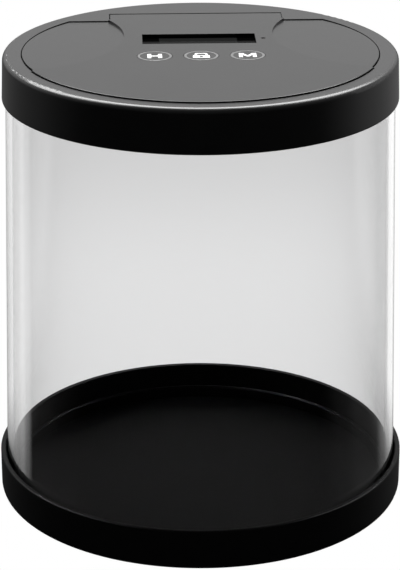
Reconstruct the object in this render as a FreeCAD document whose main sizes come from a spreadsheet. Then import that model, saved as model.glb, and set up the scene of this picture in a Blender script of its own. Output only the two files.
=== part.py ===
"""Timed lock container: clear cylinder on a black tray, with a lid ring and a hinged flap.

The flap carries the display, three keys, the timer board, two cells and a geared motor
whose pinion slides a bolt into the neck ring. Units are millimetres. +Z is up, the front
faces -Y, and the origin is the centre of the footprint on the table.
"""

import FreeCAD, Part
import math
import os
import re
import Sketcher

Vector = FreeCAD.Vector
Rotation = FreeCAD.Rotation

os.makedirs("parts", exist_ok=True)
doc = FreeCAD.newDocument("TimedLockContainer")

# ------------------------------------------------------------------ driving sizes
SIZES = {
    # whole object
    "overall_height": (169.0, "table to the top of the lid"),
    "lid_radius": (71.0, "outside of the lid ring"),
    "lid_height": (16.4, "height of the lid"),
    "flap_proud": (0.5, "flap's top above the lid ring's"),
    "base_overhang": (4.5, "base tray beyond the lid ring"),
    "base_height": (15.2, "height of the base tray without its feet"),
    # base tray and feet
    "foot_height": (0.8, "feet standing proud of the tray"),
    "foot_recess": (0.6, "depth of the pocket that holds a foot"),
    "foot_radius": (5.0, "radius of a rubber foot"),
    "foot_circle": (58.0, "radius of the circle of feet"),
    "floor_thickness": (2.4, "floor of the tray"),
    "rim_thickness": (2.0, "wall of the tray's rim"),
    "rib_thickness": (1.6, "locating rib inside the wall"),
    "rib_height": (4.5, "height of the locating rib above the floor"),
    "base_edge_radius": (2.2, "round at the tray's bottom edge"),
    "rim_edge_radius": (0.6, "round at the rim's top edges"),
    # clear wall
    "wall_thickness": (2.2, "thickness of the clear wall"),
    "wall_clearance": (0.15, "play between the wall and what holds it"),
    # lid ring
    "skirt_thickness": (1.5, "skirt outside the clear wall"),
    "crown_thickness": (2.2, "flat top of the lid ring"),
    "lid_edge_radius": (2.0, "round at the lid's top outer edge"),
    "side_lean": (0.6, "lid ring's side leans in towards the top"),
    "skirt_edge_radius": (0.5, "round at the skirt's bottom edge"),
    "ring_land": (7.6, "width of the crown between the seam and the skirt"),
    "seam_gap": (0.4, "gap round the flap"),
    # neck ring
    "overhang": (3.0, "flap rim beyond the tub"),
    "rear_overhang": (2.6, "flap rim beyond the tub at the back"),
    "swing_clearance": (1.6, "play between tub and neck that the swing needs"),
    "rear_clearance": (1.2, "play between tub and neck at the back"),
    "seat_depth": (1.0, "ledge of the neck below the crown"),
    "flange_thickness": (2.0, "flange of the neck under the crown"),
    "boss_radius": (1.5, "screw bosses under the crown"),
    "boss_length": (5.3, "length of the bosses under the crown"),
    "lug_thickness": (1.8, "screw lugs on the neck"),
    "ring_screw_radius": (0.8, "thread of the ring's screws"),
    "ring_screw_head": (1.45, "head radius of the ring's screws"),
    "ring_screw_length": (5.0, "thread of the ring's screws in a boss"),
    "thread_end_gap": (0.5, "air left past the end of a screw"),
    "bumper_radius": (0.65, "radius of a rest bumper"),
    "bumper_height": (1.1, "height of a rest bumper"),
    "bumper_gap": (0.05, "air between the bumpers and the closed flap"),
    # hinge
    "hinge_setback": (21.4, "from the back of the lid to the hinge axis"),
    "chord_inset": (7.2, "flap's straight back edge in front of the hinge axis"),
    "tab_width": (64.0, "hinge tab of the flap"),
    "barrel_radius": (3.1, "barrel of the hinge"),
    "pin_radius": (1.25, "radius of the hinge pin"),
    "pin_clearance": (0.05, "play of the barrel on its pin"),
    "ear_length": (8.6, "pin held in each ear of the bracket"),
    "barrel_clearance": (0.3, "play round the barrel"),
    "bracket_floor": (1.8, "floor under the barrel"),
    # flap cover
    "plate_thickness": (2.5, "top plate of the flap"),
    "front_lip": (0.6, "lip that stands out along the front of the flap"),
    "lip_angle": (22.6, "degrees from the middle of a side to where the lip begins"),
    "cover_edge_radius": (0.2, "round at the flap's top edge"),
    "edge_taper": (0.5, "flap's edge leans in towards its underside"),
    "recess_depth": (0.8, "finger recess at the flap's back edge"),
    "recess_front": (22.0, "recess fades out this far in front of the middle"),
    "recess_reach": (27.0, "from the middle to the recess's round edge"),
    "recess_offset": (3.0, "middle of that round edge beyond the lid, sideways"),
    "recess_centre_y": (20.0, "middle of that round edge, backwards"),
    "lip_height": (4.0, "rib of the cover inside the tub"),
    "lip_thickness": (1.2, "thickness of that rib"),
    "lip_clearance": (0.1, "play between that rib and the tub"),
    # display
    "slot_width": (41.0, "display slot, sideways"),
    "slot_length": (13.1, "display slot, front to back"),
    "slot_y": (14.7, "middle of the display slot"),
    "window_margin": (1.6, "window beyond the slot"),
    "window_thickness": (1.1, "display window"),
    "panel_width": (34.0, "display glass, sideways"),
    "panel_margin": (1.2, "display glass inside the window's front and back"),
    "panel_gap": (0.3, "air between window and display glass"),
    "panel_thickness": (1.6, "display glass"),
    "holder_wall": (1.4, "frame round the display glass"),
    # keys
    "key_pitch": (16.4, "spacing of the keys"),
    "key_y": (-7.9, "row of the keys"),
    "key_radius": (6.1, "radius of a key"),
    "key_gap": (0.2, "play round a key"),
    "key_flange_width": (1.0, "flange under the plate that keeps a key in"),
    "key_flange_thickness": (0.8, "thickness of that flange"),
    "key_stem_radius": (1.8, "stem of a key"),
    "key_stem_length": (0.95, "length of that stem"),
    "key_edge_radius": (0.25, "round at a key's edge"),
    "key_travel": (0.5, "travel of a key"),
    "key_play": (0.1, "air left under a pressed key"),
    # board
    "board_drop": (9.15, "top of the board below the top of the lid"),
    "board_thickness": (1.6, "control board"),
    "board_gap": (0.3, "board's left edge beside the battery bay"),
    "board_side_gap": (18.6, "board's right edge inside the tub's wall"),
    "board_front": (18.0, "board's front edge from the middle"),
    "board_back": (29.2, "board's back edge from the middle"),
    "board_boss_radius": (1.9, "bosses that carry the board"),
    "board_boss_inset": (2.3, "bosses inside the board's edges"),
    "board_screw_radius": (0.8, "thread of the board's screws"),
    "board_screw_head": (1.6, "head radius of the board's screws"),
    "board_screw_length": (3.0, "thread of the board's screws in a boss"),
    "head_thickness": (0.9, "heads of the small screws"),
    "switch_width": (4.5, "tact switch"),
    "switch_height": (3.4, "body of a tact switch"),
    "plunger_radius": (1.7, "plunger of a tact switch"),
    "buzzer_radius": (6.0, "buzzer"),
    "buzzer_height": (5.5, "height of the buzzer"),
    "buzzer_inset": (8.5, "buzzer inside the board's right edge"),
    "buzzer_y": (2.0, "buzzer, backwards"),
    "sound_hole_radius": (1.2, "hole in the buzzer's top"),
    "sound_hole_depth": (1.0, "depth of that hole"),
    "led_radius": (0.75, "indicator lamp"),
    "led_gap": (0.1, "play round the lamp"),
    "led_offset": (2.8, "lamp beside the window's edge"),
    "led_drop": (0.15, "top of the lamp below the top of the lid"),
    # tub
    "flap_depth": (17.4, "top of the flap to the underside of the tub"),
    "tub_floor": (1.8, "floor of the tub"),
    "tub_wall": (1.8, "wall of the tub"),
    "tub_edge_radius": (1.2, "round at the tub's bottom edge"),
    "post_radius": (2.2, "screw posts of the cover"),
    "post_wall_gap": (0.9, "posts inside the cover's rib"),
    "flap_screw_radius": (1.0, "thread of the flap's screws"),
    "flap_screw_head": (1.9, "head radius of the flap's screws"),
    "flap_screw_length": (8.0, "thread of the flap's screws in a post"),
    # cells and their bay
    "cell_radius": (5.15, "radius of a cell"),
    "cell_length": (43.3, "length of a cell without its nub"),
    "nub_length": (1.2, "nub of a cell"),
    "nub_radius": (1.9, "radius of that nub"),
    "cell_gap": (0.4, "play beside the cells"),
    "bay_wall": (1.0, "walls of the battery bay"),
    "bay_margin": (0.2, "bay's outer corners inside the cover's rib"),
    "spring_length": (3.9, "battery spring under load"),
    "spring_wire": (0.3, "wire radius of a battery spring"),
    "spring_radius": (2.9, "coil radius of a battery spring"),
    "spring_turns": (3.0, "turns of a battery spring"),
    "contact_thickness": (0.3, "contact plates"),
    # battery door
    "door_gap": (0.2, "play round the battery door"),
    "stub_radius": (0.6, "pivot stubs of the door"),
    "stub_length": (1.0, "length of a pivot stub"),
    "stub_clearance": (0.05, "play round a stub"),
    "stub_end_gap": (0.1, "play at the end of a stub"),
    "grip_width": (12.0, "finger grooves in the door"),
    "grip_pitch": (1.8, "spacing of the finger grooves"),
    "grip_depth": (0.5, "depth of a finger groove"),
    "grip_count": (4, "finger grooves"),
    # bolt, pinion and motor
    "bolt_width": (10.0, "latch bolt"),
    "bolt_thickness": (2.9, "latch bolt below its teeth"),
    "bolt_lift": (1.0, "bolt above the tub's floor"),
    "bolt_gap": (0.1, "play of the bolt in its guide"),
    "bolt_travel": (5.0, "travel of the bolt"),
    "bolt_length": (27.0, "length of the bolt"),
    "strike_play": (0.8, "play above the bolt in the neck's notch"),
    "strike_side_play": (4.0, "play on each side of the bolt in that notch"),
    "tooth_module": (0.6, "module of pinion and rack"),
    "tooth_count": (10, "teeth of the pinion"),
    "tooth_backlash": (0.12, "play between meshing teeth"),
    "tooth_shift": (0.5, "profile shift of the pinion, in modules"),
    "rack_teeth": (6, "teeth of the rack"),
    "pinion_width": (6.0, "width of the pinion"),
    "pinion_setback": (17.4, "pinion axis behind the tub's front"),
    "shaft_radius": (1.5, "shaft of the motor"),
    "shaft_gap": (0.05, "play of the shaft in its bearing"),
    "bearing_depth": (2.0, "shaft's seat in the gearbox"),
    "gearbox_gap": (2.4, "pinion to gearbox"),
    "gearbox_length": (9.0, "gearbox"),
    "motor_length": (14.0, "motor"),
    "motor_width": (12.0, "motor, front to back"),
    "motor_height": (10.0, "motor, top to bottom"),
    "saddle_inset": (2.4, "saddles inside the ends of gearbox and motor"),
    "cradle_length": (28.0, "rails beside the bolt, from the tub's front"),
    "rail_width": (1.4, "rails beside the bolt"),
    "guide_width": (19.0, "bolt guide, sideways"),
    "guide_length": (4.4, "bolt guide, front to back"),
    "guide_wall": (2.0, "bridge of the bolt guide"),
    "guide_inset": (2.3, "bolt guide behind the tub's wall"),
    "guide_foot": (2.0, "feet of the bolt guide"),
    "lead_radius": (0.6, "insulated wires"),
    "lead_gap": (0.1, "air between the wires and the board"),
    "motor_lead_rise": (3.7, "motor's terminals above the board's ends of its wires"),
    "motor_pads_x": (11.1, "motor's pads inside the board's right edge"),
    "pads_inset": (2.1, "motor's pads inside the board's front edge"),
    "battery_lead_y": (21.5, "battery wires leave the bay, backwards"),
    "battery_lead_drop": (2.5, "battery wires leave the bay below the board's ends"),
    "battery_pads_x": (8.7, "battery pads inside the board's left edge"),
    "battery_pads_y": (19.0, "battery pads, backwards"),
    "cut_past": (1.0, "how far a cut runs past the face that it opens"),
}

# ------------------------------------------------------------------ derived places
DERIVED = {
    "lid_base": "overall_height - lid_height",
    "crown_top": "overall_height - flap_proud",
    "crown_under": "crown_top - crown_thickness",
    "plate_under": "overall_height - plate_thickness",
    "base_radius": "lid_radius + base_overhang",
    "tray_under": "foot_height",
    "tray_floor": "foot_height + floor_thickness",
    "tray_top": "foot_height + base_height",
    "rim_inner": "base_radius - rim_thickness",
    "wall_bottom_outer": "rim_inner - wall_clearance",
    "wall_bottom_inner": "wall_bottom_outer - wall_thickness",
    "wall_top_outer": "lid_radius - skirt_thickness - wall_clearance",
    "wall_top_inner": "wall_top_outer - wall_thickness",
    "wall_draft": "(wall_bottom_outer - wall_top_outer) / (crown_under - tray_floor)",
    "rib_outer": "wall_bottom_inner - wall_clearance",
    "flap_radius": "lid_radius - ring_land",
    "seam_radius": "flap_radius + seam_gap",
    "lip_radius": "flap_radius + front_lip",
    "tub_radius": "flap_radius - overhang",
    "tub_inner": "tub_radius - tub_wall",
    "neck_inner": "tub_radius + swing_clearance",
    "flange_radius": "wall_top_inner - wall_clearance",
    "boss_circle": "(seam_radius + flange_radius) / 2",
    "hinge_y": "lid_radius - hinge_setback",
    "hinge_z": "overall_height - barrel_radius",
    "chord_y": "hinge_y - chord_inset",
    "recess_centre_x": "lid_radius + recess_offset",
    "recess_radius": "recess_centre_x - recess_reach",
    "tub_chord": "chord_y - rear_overhang",
    "neck_chord": "tub_chord + rear_clearance",
    "tab_half": "tab_width / 2",
    "tab_slot_half": "tab_half + seam_gap",
    "tab_slot_back": "hinge_y + barrel_radius + barrel_clearance",
    "pin_half": "tab_slot_half + ear_length",
    "barrel_floor": "overall_height - 2 * barrel_radius - barrel_clearance",
    "swing_radius": "sqrt((chord_inset - seam_gap) ^ 2 + barrel_radius ^ 2) + barrel_clearance / 2",
    "tub_under": "overall_height - flap_depth",
    "tub_top": "plate_under",
    "tub_deck": "tub_under + tub_floor",
    "rib_radius": "tub_inner - lip_clearance",
    "rib_chord": "tub_chord - tub_wall - lip_clearance",
    "board_top": "overall_height - board_drop",
    "board_under": "board_top - board_thickness",
    "window_half": "slot_width / 2 + window_margin",
    "window_depth": "slot_length / 2 + window_margin",
    "window_under": "plate_under",
    "window_top": "plate_under + window_thickness",
    "panel_top": "window_under - panel_gap",
    "panel_under": "panel_top - panel_thickness",
    "led_x": "slot_width / 2 + led_offset",
    "flange_under": "plate_under - key_flange_thickness",
    "stem_under": "flange_under - key_stem_length",
    "plunger_top": "stem_under - key_travel - key_play",
    "post_circle": "rib_radius - lip_thickness - post_wall_gap - post_radius",
    "bay_length": "cell_length + nub_length + spring_length + 2 * contact_thickness",
    "bay_half": "bay_length / 2",
    "bay_width": "4 * cell_radius + 3 * cell_gap",
    "bay_reach": "rib_radius - lip_thickness - bay_margin",
    "bay_outer_x": "sqrt(bay_reach ^ 2 - (bay_half + bay_wall) ^ 2) - bay_wall",
    "bay_inner_x": "bay_outer_x - bay_width",
    "board_left": "bay_inner_x - bay_wall - board_gap",
    "board_right": "tub_inner - board_side_gap",
    "buzzer_x": "board_right - buzzer_inset",
    "bay_top": "tub_deck + 2 * cell_radius + 2 * cell_gap",
    "cell_z": "tub_deck + cell_radius + cell_gap",
    "door_axis_x": "bay_inner_x + door_gap + tub_floor / 2",
    "door_axis_z": "tub_under + tub_floor / 2",
    "door_free_x": "bay_outer_x - door_gap",
    "door_half": "bay_half - door_gap",
    "bolt_under": "tub_deck + bolt_lift",
    "bolt_top": "bolt_under + bolt_thickness",
    "bolt_tip": "tub_radius - 0.5 * bolt_gap",
    "bolt_tail": "bolt_tip - bolt_length",
    "pitch_radius": "tooth_module * tooth_count / 2",
    "pitch_line": "bolt_top + 1.25 * tooth_module",
    "pinion_y": "tub_radius - pinion_setback",
    "pinion_z": "pitch_line + tooth_shift * tooth_module + pitch_radius",
    "gearbox_x": "pinion_width / 2 + gearbox_gap",
    "motor_x": "gearbox_x + gearbox_length",
    "motor_end": "motor_x + motor_length",
    "motor_under": "pinion_z - motor_height / 2",
    "rail_x": "bolt_width / 2 + 2 * bolt_gap",
    "rail_top": "motor_under - bolt_gap",
    "lug_under": "crown_under - boss_length - lug_thickness",
    "pad_under": "crown_under - seat_depth - bumper_height",
}


def fill_sheet(name, rows):
    """Write one alias per row of a new sheet."""
    table = doc.addObject("Spreadsheet::Sheet", name)
    for row, (alias, content) in enumerate(rows, start=1):
        table.set(f"A{row}", alias)
        table.set(f"B{row}", content)
        table.setAlias(f"B{row}", alias)
    return table


HOME = {alias: "Sizes" for alias in SIZES}
HOME.update({alias: "Derived" for alias in DERIVED})


def formula(text):
    """Put the name of its sheet before each alias in an expression."""
    return re.sub(r"[a-z_]\w*", lambda word: qualified(word.group()), str(text))


def qualified(word):
    """Give an alias with its sheet, and leave any other word alone."""
    return f"{HOME[word]}.{word}" if word in HOME else word


sizes = fill_sheet("Sizes", [(alias, str(row[0])) for alias, row in SIZES.items()])
for number, (_, meaning) in enumerate(SIZES.values(), start=1):
    sizes.set(f"C{number}", meaning)
derived = fill_sheet("Derived", [(alias, "=" + formula(text)) for alias, text in DERIVED.items()])
doc.recompute()


def value(text):
    """Number that an expression of aliases gives now."""
    return float(sizes.evalExpression(formula(text)))


def bind(item, prop, text):
    """Tie a property to an expression of aliases."""
    item.setExpression(prop, formula(text))


# ------------------------------------------------------------------ solids
TURNS = {
    "Z": Rotation(),
    "Y": Rotation(Vector(1, 0, 0), -90),
    "X": Rotation(Vector(0, 1, 0), 90),
}
parts = []


def place(item, x=0, y=0, z=0, turn=None):
    """Put an item at bound coordinates."""
    item.Placement.Rotation = turn or Rotation()
    bind(item, "Placement.Base.x", x)
    bind(item, "Placement.Base.y", y)
    bind(item, "Placement.Base.z", z)
    return item


def cylinder(radius, height, x=0, y=0, z=0, axis="Z"):
    """Cylinder that runs from its place along an axis."""
    item = doc.addObject("Part::Cylinder", "Cylinder")
    bind(item, "Radius", radius)
    bind(item, "Height", height)
    return place(item, x, y, z, TURNS[axis])


def box(x0, x1, y0, y1, z0, z1):
    """Box between two corners."""
    item = doc.addObject("Part::Box", "Box")
    bind(item, "Length", f"({x1}) - ({x0})")
    bind(item, "Width", f"({y1}) - ({y0})")
    bind(item, "Height", f"({z1}) - ({z0})")
    return place(item, x0, y0, z0)


def block(half_x, y0, y1, z0, z1):
    """Box that is centred on the YZ plane."""
    return box(f"-({half_x})", half_x, y0, y1, z0, z1)


def fuse(*items):
    """Union of items."""
    item = doc.addObject("Part::MultiFuse", "Fusion")
    item.Shapes = list(items)
    item.Refine = True
    return item


def cut(base, *tools):
    """Base less one or more tools."""
    item = doc.addObject("Part::Cut", "Cut")
    item.Base = base
    item.Tool = tools[0] if len(tools) == 1 else fuse(*tools)
    item.Refine = True
    return item


def common(*items):
    """What items share."""
    item = doc.addObject("Part::MultiCommon", "Common")
    item.Shapes = list(items)
    item.Refine = True
    return item


def group(*items):
    """Separate solids that share one node."""
    item = doc.addObject("Part::Compound", "Group")
    item.Links = list(items)
    return item


def tube(outer, inner, z0, z1):
    """Upright tube on the axis."""
    height = f"({z1}) - ({z0})"
    return cut(cylinder(outer, height, z=z0), cylinder(inner, height, z=z0))


def round_edges(item, radius, chosen):
    """Fillet the edges that a rule picks."""
    doc.recompute()
    numbers = [n for n, edge in enumerate(item.Shape.Edges, start=1) if chosen(edge)]
    rounded = doc.addObject("Part::Fillet", "Fillet")
    rounded.Base = item
    size = value(radius)
    rounded.Edges = [(n, size, size) for n in numbers]
    return rounded


def at_height(z):
    """Rule: an edge that lies flat at a height."""
    level = value(z)
    return lambda edge: abs(edge.BoundBox.ZMin - level) < 1e-4 and abs(edge.BoundBox.ZMax - level) < 1e-4


def part(label, item):
    """Name a finished sub-part."""
    item.Label = label
    parts.append(item)
    return item


# ------------------------------------------------------------------ turned bodies
def origin_plane(body, role):
    """Plane of a body's own origin."""
    return next(feature for feature in body.Origin.OriginFeatures if feature.Role == role)


def polygon_sketch(body, role, points):
    """Closed outline whose corners are tied to expressions."""
    sketch = body.newObject("Sketcher::SketchObject", "Profile")
    sketch.AttachmentSupport = [(origin_plane(body, role), "")]
    sketch.MapMode = "FlatFace"
    corners = [Vector(value(x), value(y), 0) for x, y in points]
    count = len(corners)
    for n in range(count):
        sketch.addGeometry(Part.LineSegment(corners[n], corners[(n + 1) % count]))
    for n in range(count):
        sketch.addConstraint(Sketcher.Constraint("Coincident", n, 2, (n + 1) % count, 1))
    for n, (x, y) in enumerate(points):
        for kind, text, now in (("DistanceX", x, corners[n].x), ("DistanceY", y, corners[n].y)):
            index = sketch.addConstraint(Sketcher.Constraint(kind, -1, 1, n, 1, now))
            bind(sketch, f"Constraints[{index}]", text)
    return sketch


def turned_body(points):
    """Body made by turning a radius and height outline about +Z."""
    body = doc.addObject("PartDesign::Body", "Turned")
    sketch = polygon_sketch(body, "XZ_Plane", points)
    turned = body.newObject("PartDesign::Revolution", "Revolution")
    turned.Profile = sketch
    turned.ReferenceAxis = (sketch, ["V_Axis"])
    turned.Angle = 360
    doc.recompute()
    return body


def round_circles(body, rounds):
    """Fillet circular edges of a turned body, each given by radius and height."""
    for radius, edge_radius, edge_z in rounds:
        base = body.Tip
        wanted = (value(edge_radius), value(edge_z))
        names = [f"Edge{n}" for n, edge in enumerate(base.Shape.Edges, start=1) if is_circle(edge, *wanted)]
        rounded = body.newObject("PartDesign::Fillet", "Fillet")
        rounded.Base = (base, names)
        bind(rounded, "Radius", radius)
        doc.recompute()
    return body


def is_circle(edge, radius, z):
    """True for a circle about the axis with this radius at this height."""
    curve = edge.Curve
    if not isinstance(curve, Part.Circle):
        return False
    return abs(curve.Radius - radius) < 1e-4 and abs(curve.Center.z - z) < 1e-4


def polar(radius, degrees):
    """Bound x and y of a point at a radius and an angle."""
    return f"({radius}) * cos({degrees})", f"({radius}) * sin({degrees})"


# ------------------------------------------------------------------ base tray, feet and wall
def base_tray():
    """Floor, raised rim, and the rib that centres the clear wall."""
    rib_inner = "rib_outer - rib_thickness"
    rib_top = "tray_floor + rib_height"
    body = turned_body([
        ("0", "tray_under"),
        ("base_radius", "tray_under"),
        ("base_radius", "tray_top"),
        ("rim_inner", "tray_top"),
        ("rim_inner", "tray_floor"),
        ("rib_outer", "tray_floor"),
        ("rib_outer", rib_top),
        (rib_inner, rib_top),
        (rib_inner, "tray_floor"),
        ("0", "tray_floor"),
    ])
    round_circles(body, [
        ("base_edge_radius", "base_radius", "tray_under"),
        ("rim_edge_radius", "base_radius", "tray_top"),
        ("rim_edge_radius", "rim_inner", "tray_top"),
        ("rim_edge_radius", "rib_outer", rib_top),
        ("rim_edge_radius", rib_inner, rib_top),
    ])
    pockets = [cylinder("foot_radius", "foot_recess", *polar("foot_circle", angle), "foot_height")
               for angle in FOOT_ANGLES]
    return part("base_tray", cut(body, *pockets))


FOOT_ANGLES = [45, 135, 225, 315]


def rubber_feet():
    """Four feet, partly sunk in the tray."""
    feet = [cylinder("foot_radius", "foot_height + foot_recess", *polar("foot_circle", angle))
            for angle in FOOT_ANGLES]
    return part("rubber_feet", group(*feet))


def clear_wall():
    """Moulded tube with draft, from the tray's floor to the crown."""
    return part("clear_wall", turned_body([
        ("wall_bottom_inner", "tray_floor"),
        ("wall_bottom_outer", "tray_floor"),
        ("wall_top_outer", "crown_under"),
        ("wall_top_inner", "crown_under"),
    ]))


# ------------------------------------------------------------------ flap outline
def straight_disc(radius, z0, z1):
    """Disc with an upright edge."""
    return cylinder(radius, f"({z1}) - ({z0})", z=z0)


def moulded_disc(radius, z0, z1):
    """Disc whose edge is rounded at the top and leans in below."""
    body = turned_body([
        ("0", z0),
        (f"{radius} - edge_taper", z0),
        (radius, z1),
        ("0", z1),
    ])
    return round_circles(body, [("cover_edge_radius", radius, z1)])


def front_sector(gap, z0, z1):
    """Sector that spans the front as far as the ends of the lip, and a gap more."""
    sector = cylinder("2 * lid_radius", f"({z1}) - ({z0})", z=z0)
    start = f"(lip_angle - ({gap}) / lip_radius * 180 / pi)"
    bind(sector, "Angle", f"180 - 2 * {start}")
    bind(sector, "Placement.Rotation.Angle", f"180 + {start}")
    return sector


def flap_outline(disc, gap, z0, z1):
    """Flap's outline, larger by a gap: disc, straight back edge, front lip and tab."""
    reach = "2 * lid_radius"
    main = common(
        disc(f"flap_radius + {gap}", z0, z1),
        block(reach, f"-({reach})", f"chord_y + {gap}", z0, z1),
    )
    lip = common(disc(f"lip_radius + {gap}", z0, z1), front_sector(gap, z0, z1))
    tab = block(f"tab_half + {gap}", "0", "hinge_y", z0, z1)
    return fuse(main, lip, tab)


# ------------------------------------------------------------------ lid ring and neck ring
BOSS_ANGLES = [0, 60, 120, 180, 240, 300]


def lid_ring():
    """Crown and skirt over the wall, with six screw bosses under the crown."""
    skirt_inner = "lid_radius - skirt_thickness"
    body = turned_body([
        ("0", "crown_under"),
        (skirt_inner, "crown_under"),
        (f"{skirt_inner} + (crown_under - lid_base) * wall_draft", "lid_base"),
        ("lid_radius", "lid_base"),
        ("lid_radius - side_lean", "crown_top"),
        ("0", "crown_top"),
    ])
    round_circles(body, [
        ("lid_edge_radius", "lid_radius - side_lean", "crown_top"),
        ("skirt_edge_radius", "lid_radius", "lid_base"),
    ])
    spots = [(*polar("boss_circle", angle), "crown_under - boss_length") for angle in BOSS_ANGLES]
    bosses = [cylinder("boss_radius", "boss_length", *spot) for spot in spots]
    opening = flap_outline(straight_disc, "seam_gap", "crown_under - cut_past", "overall_height + cut_past")
    slot = block("tab_slot_half", "0", "tab_slot_back",
                 "crown_under - cut_past", "overall_height + cut_past")
    threads = [cylinder("ring_screw_radius", "ring_screw_length", *spot) for spot in spots]
    return part("lid_ring", cut(fuse(body, *bosses), opening, slot, pin_room(), *threads))


def pin_room():
    """Bore for the hinge pin, half in the neck's ears and half in the crown."""
    return cylinder("pin_radius", "2 * pin_half", "-pin_half", "hinge_y", "hinge_z", axis="X")


def neck_ring():
    """Mouth of the container: tube, ledge, flange, hinge bracket, strike notch and lugs."""
    ledge = "crown_under - seat_depth"
    body = turned_body([
        ("neck_inner", "lid_base"),
        ("seam_radius", "lid_base"),
        ("seam_radius", "crown_under - flange_thickness"),
        ("flange_radius", "crown_under - flange_thickness"),
        ("flange_radius", "crown_under"),
        ("seam_radius", "crown_under"),
        ("seam_radius", ledge),
        ("neck_inner", ledge),
    ])
    bracket = cut(
        common(
            cylinder("seam_radius", "crown_under - lid_base", z="lid_base"),
            block("lid_radius", "neck_chord", "lid_radius", "lid_base", "crown_under"),
        ),
        bracket_hollow(),
    )
    lugs = [common(
        cylinder("2 * boss_radius", "lug_thickness", *polar("boss_circle", angle), "lug_under"),
        cylinder("flange_radius", "lug_thickness", z="lug_under"),
    ) for angle in BOSS_ANGLES]
    mouth = common(
        cylinder("neck_inner", "lid_height", z="lid_base"),
        block("lid_radius", "-lid_radius", "neck_chord", "lid_base", "overall_height"),
    )
    tab_pocket = block("tab_slot_half", "0", "tab_slot_back", "barrel_floor", "overall_height")
    strike = block(
        "bolt_width / 2 + strike_side_play", "-lid_radius", "-neck_inner / 2",
        "lid_base - cut_past", "bolt_top + strike_play",
    )
    boss_room = [cylinder("boss_radius + wall_clearance", "boss_length", *polar("boss_circle", angle),
                          "crown_under - boss_length")
                 for angle in BOSS_ANGLES]
    screw_room = [cylinder("ring_screw_radius", "lug_thickness", *polar("boss_circle", angle), "lug_under")
                  for angle in BOSS_ANGLES]
    pads = [bumper(angle) for angle in BUMPER_ANGLES]
    whole = fuse(body, bracket, *lugs)
    rooms = [tab_pocket, pin_room(), strike, *boss_room, *screw_room, *pads]
    return part("neck_ring", cut(whole, mouth, *rooms))


def bracket_hollow():
    """Space under the barrel's floor that keeps the bracket's walls even."""
    return common(
        cylinder("neck_inner", "lid_height", z="lid_base"),
        block("tab_slot_half - bracket_floor", "neck_chord + bracket_floor", "lid_radius",
              "lid_base", "barrel_floor - bracket_floor"),
    )


def ring_screws():
    """Six screws up through the lugs into the bosses."""
    screws = [fuse(
        cylinder("ring_screw_radius", "lug_thickness + ring_screw_length - thread_end_gap",
                 *polar("boss_circle", angle), "lug_under"),
        cylinder("ring_screw_head", "head_thickness",
                 *polar("boss_circle", angle), "lug_under - head_thickness"),
    ) for angle in BOSS_ANGLES]
    return part("ring_screws", group(*screws))


def hinge_pin():
    """Steel pin through both ears and the flap's barrel."""
    return part("hinge_pin", pin_room())


BUMPER_ANGLES = [-150, -110, -70, -30]


def bumper(angle):
    """Soft pad let into the ledge, up to just below the flap."""
    middle = polar("(neck_inner + seam_radius) / 2", angle)
    return cylinder("bumper_radius", "plate_under - bumper_gap - pad_under", *middle, "pad_under")


def rest_bumpers():
    """Pads that the flap's rim comes down on."""
    return part("rest_bumpers", group(*[bumper(angle) for angle in BUMPER_ANGLES]))


# ------------------------------------------------------------------ flap cover
POST_ANGLES = [-143, -110, -42, 2, 37, 143]


def flap_cover():
    """Top shell: plate, hinge barrel, rib, screw posts, display slot and key holes."""
    plate = flap_outline(moulded_disc, "0", "plate_under", "overall_height")
    barrel = cylinder("barrel_radius", "tab_width", "-tab_half", "hinge_y", "hinge_z", axis="X")
    web = block("tab_half", "chord_y - 2 * barrel_radius", "hinge_y",
                "hinge_z + pin_radius", "overall_height - cover_edge_radius")
    rib = common(
        tube("rib_radius", "rib_radius - lip_thickness", "plate_under - lip_height", "plate_under"),
        block("lid_radius", "-lid_radius", "rib_chord", "plate_under - lip_height", "plate_under"),
    )
    posts = [cylinder("post_radius", "plate_under - tub_deck", *polar("post_circle", angle), "tub_deck")
             for angle in POST_ANGLES]
    board_posts = [cylinder("board_boss_radius", "plate_under - board_top", x, y, "board_top")
                   for x, y in board_corners()]
    solid = fuse(plate, barrel, web, rib, *posts, *board_posts)
    past_top = "overall_height + cut_past"
    slot = block("slot_width / 2", "slot_y - slot_length / 2", "slot_y + slot_length / 2",
                 "plate_under", past_top)
    rebate = block("window_half", "slot_y - window_depth", "slot_y + window_depth",
                   "plate_under - cut_past", "window_top")
    holes = [upright_hole("key_radius + key_gap", x, "key_y") for x in KEY_PLACES.values()]
    holes.append(upright_hole("led_radius + led_gap", "led_x", "slot_y"))
    bore = cylinder("pin_radius + pin_clearance", "tab_width", "-tab_half", "hinge_y", "hinge_z", axis="X")
    threads = [cylinder("flap_screw_radius", "flap_screw_length", *polar("post_circle", angle), "tub_deck")
               for angle in POST_ANGLES]
    board_threads = [cylinder("board_screw_radius", "board_screw_length + thread_end_gap",
                              x, y, "board_top")
                     for x, y in board_corners()]
    sides = [f(side) for side in ("-1", "1") for f in (finger_recess, rear_relief)]
    return part("flap_cover", cut(solid, slot, rebate, *holes, bore, *threads, *board_threads, *sides))


def upright_hole(radius, x, y):
    """Hole through the flap's top plate."""
    return cylinder(radius, "plate_thickness + 2 * cut_past", x, y, "plate_under - cut_past")


def rear_relief(side):
    """Bevel of the back edge beside the tab, so that it swings clear of the lid ring."""
    near = f"{side} * (tab_half + lid_radius) / 2"
    wing = box(f"{near} - (lid_radius - tab_half) / 2", f"{near} + (lid_radius - tab_half) / 2",
               "chord_y - swing_radius", "hinge_y", "plate_under - cut_past", "overall_height + cut_past")
    swing = cylinder("swing_radius", "2 * lid_radius", "-lid_radius", "hinge_y", "hinge_z", axis="X")
    return common(wing, swing)


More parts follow.
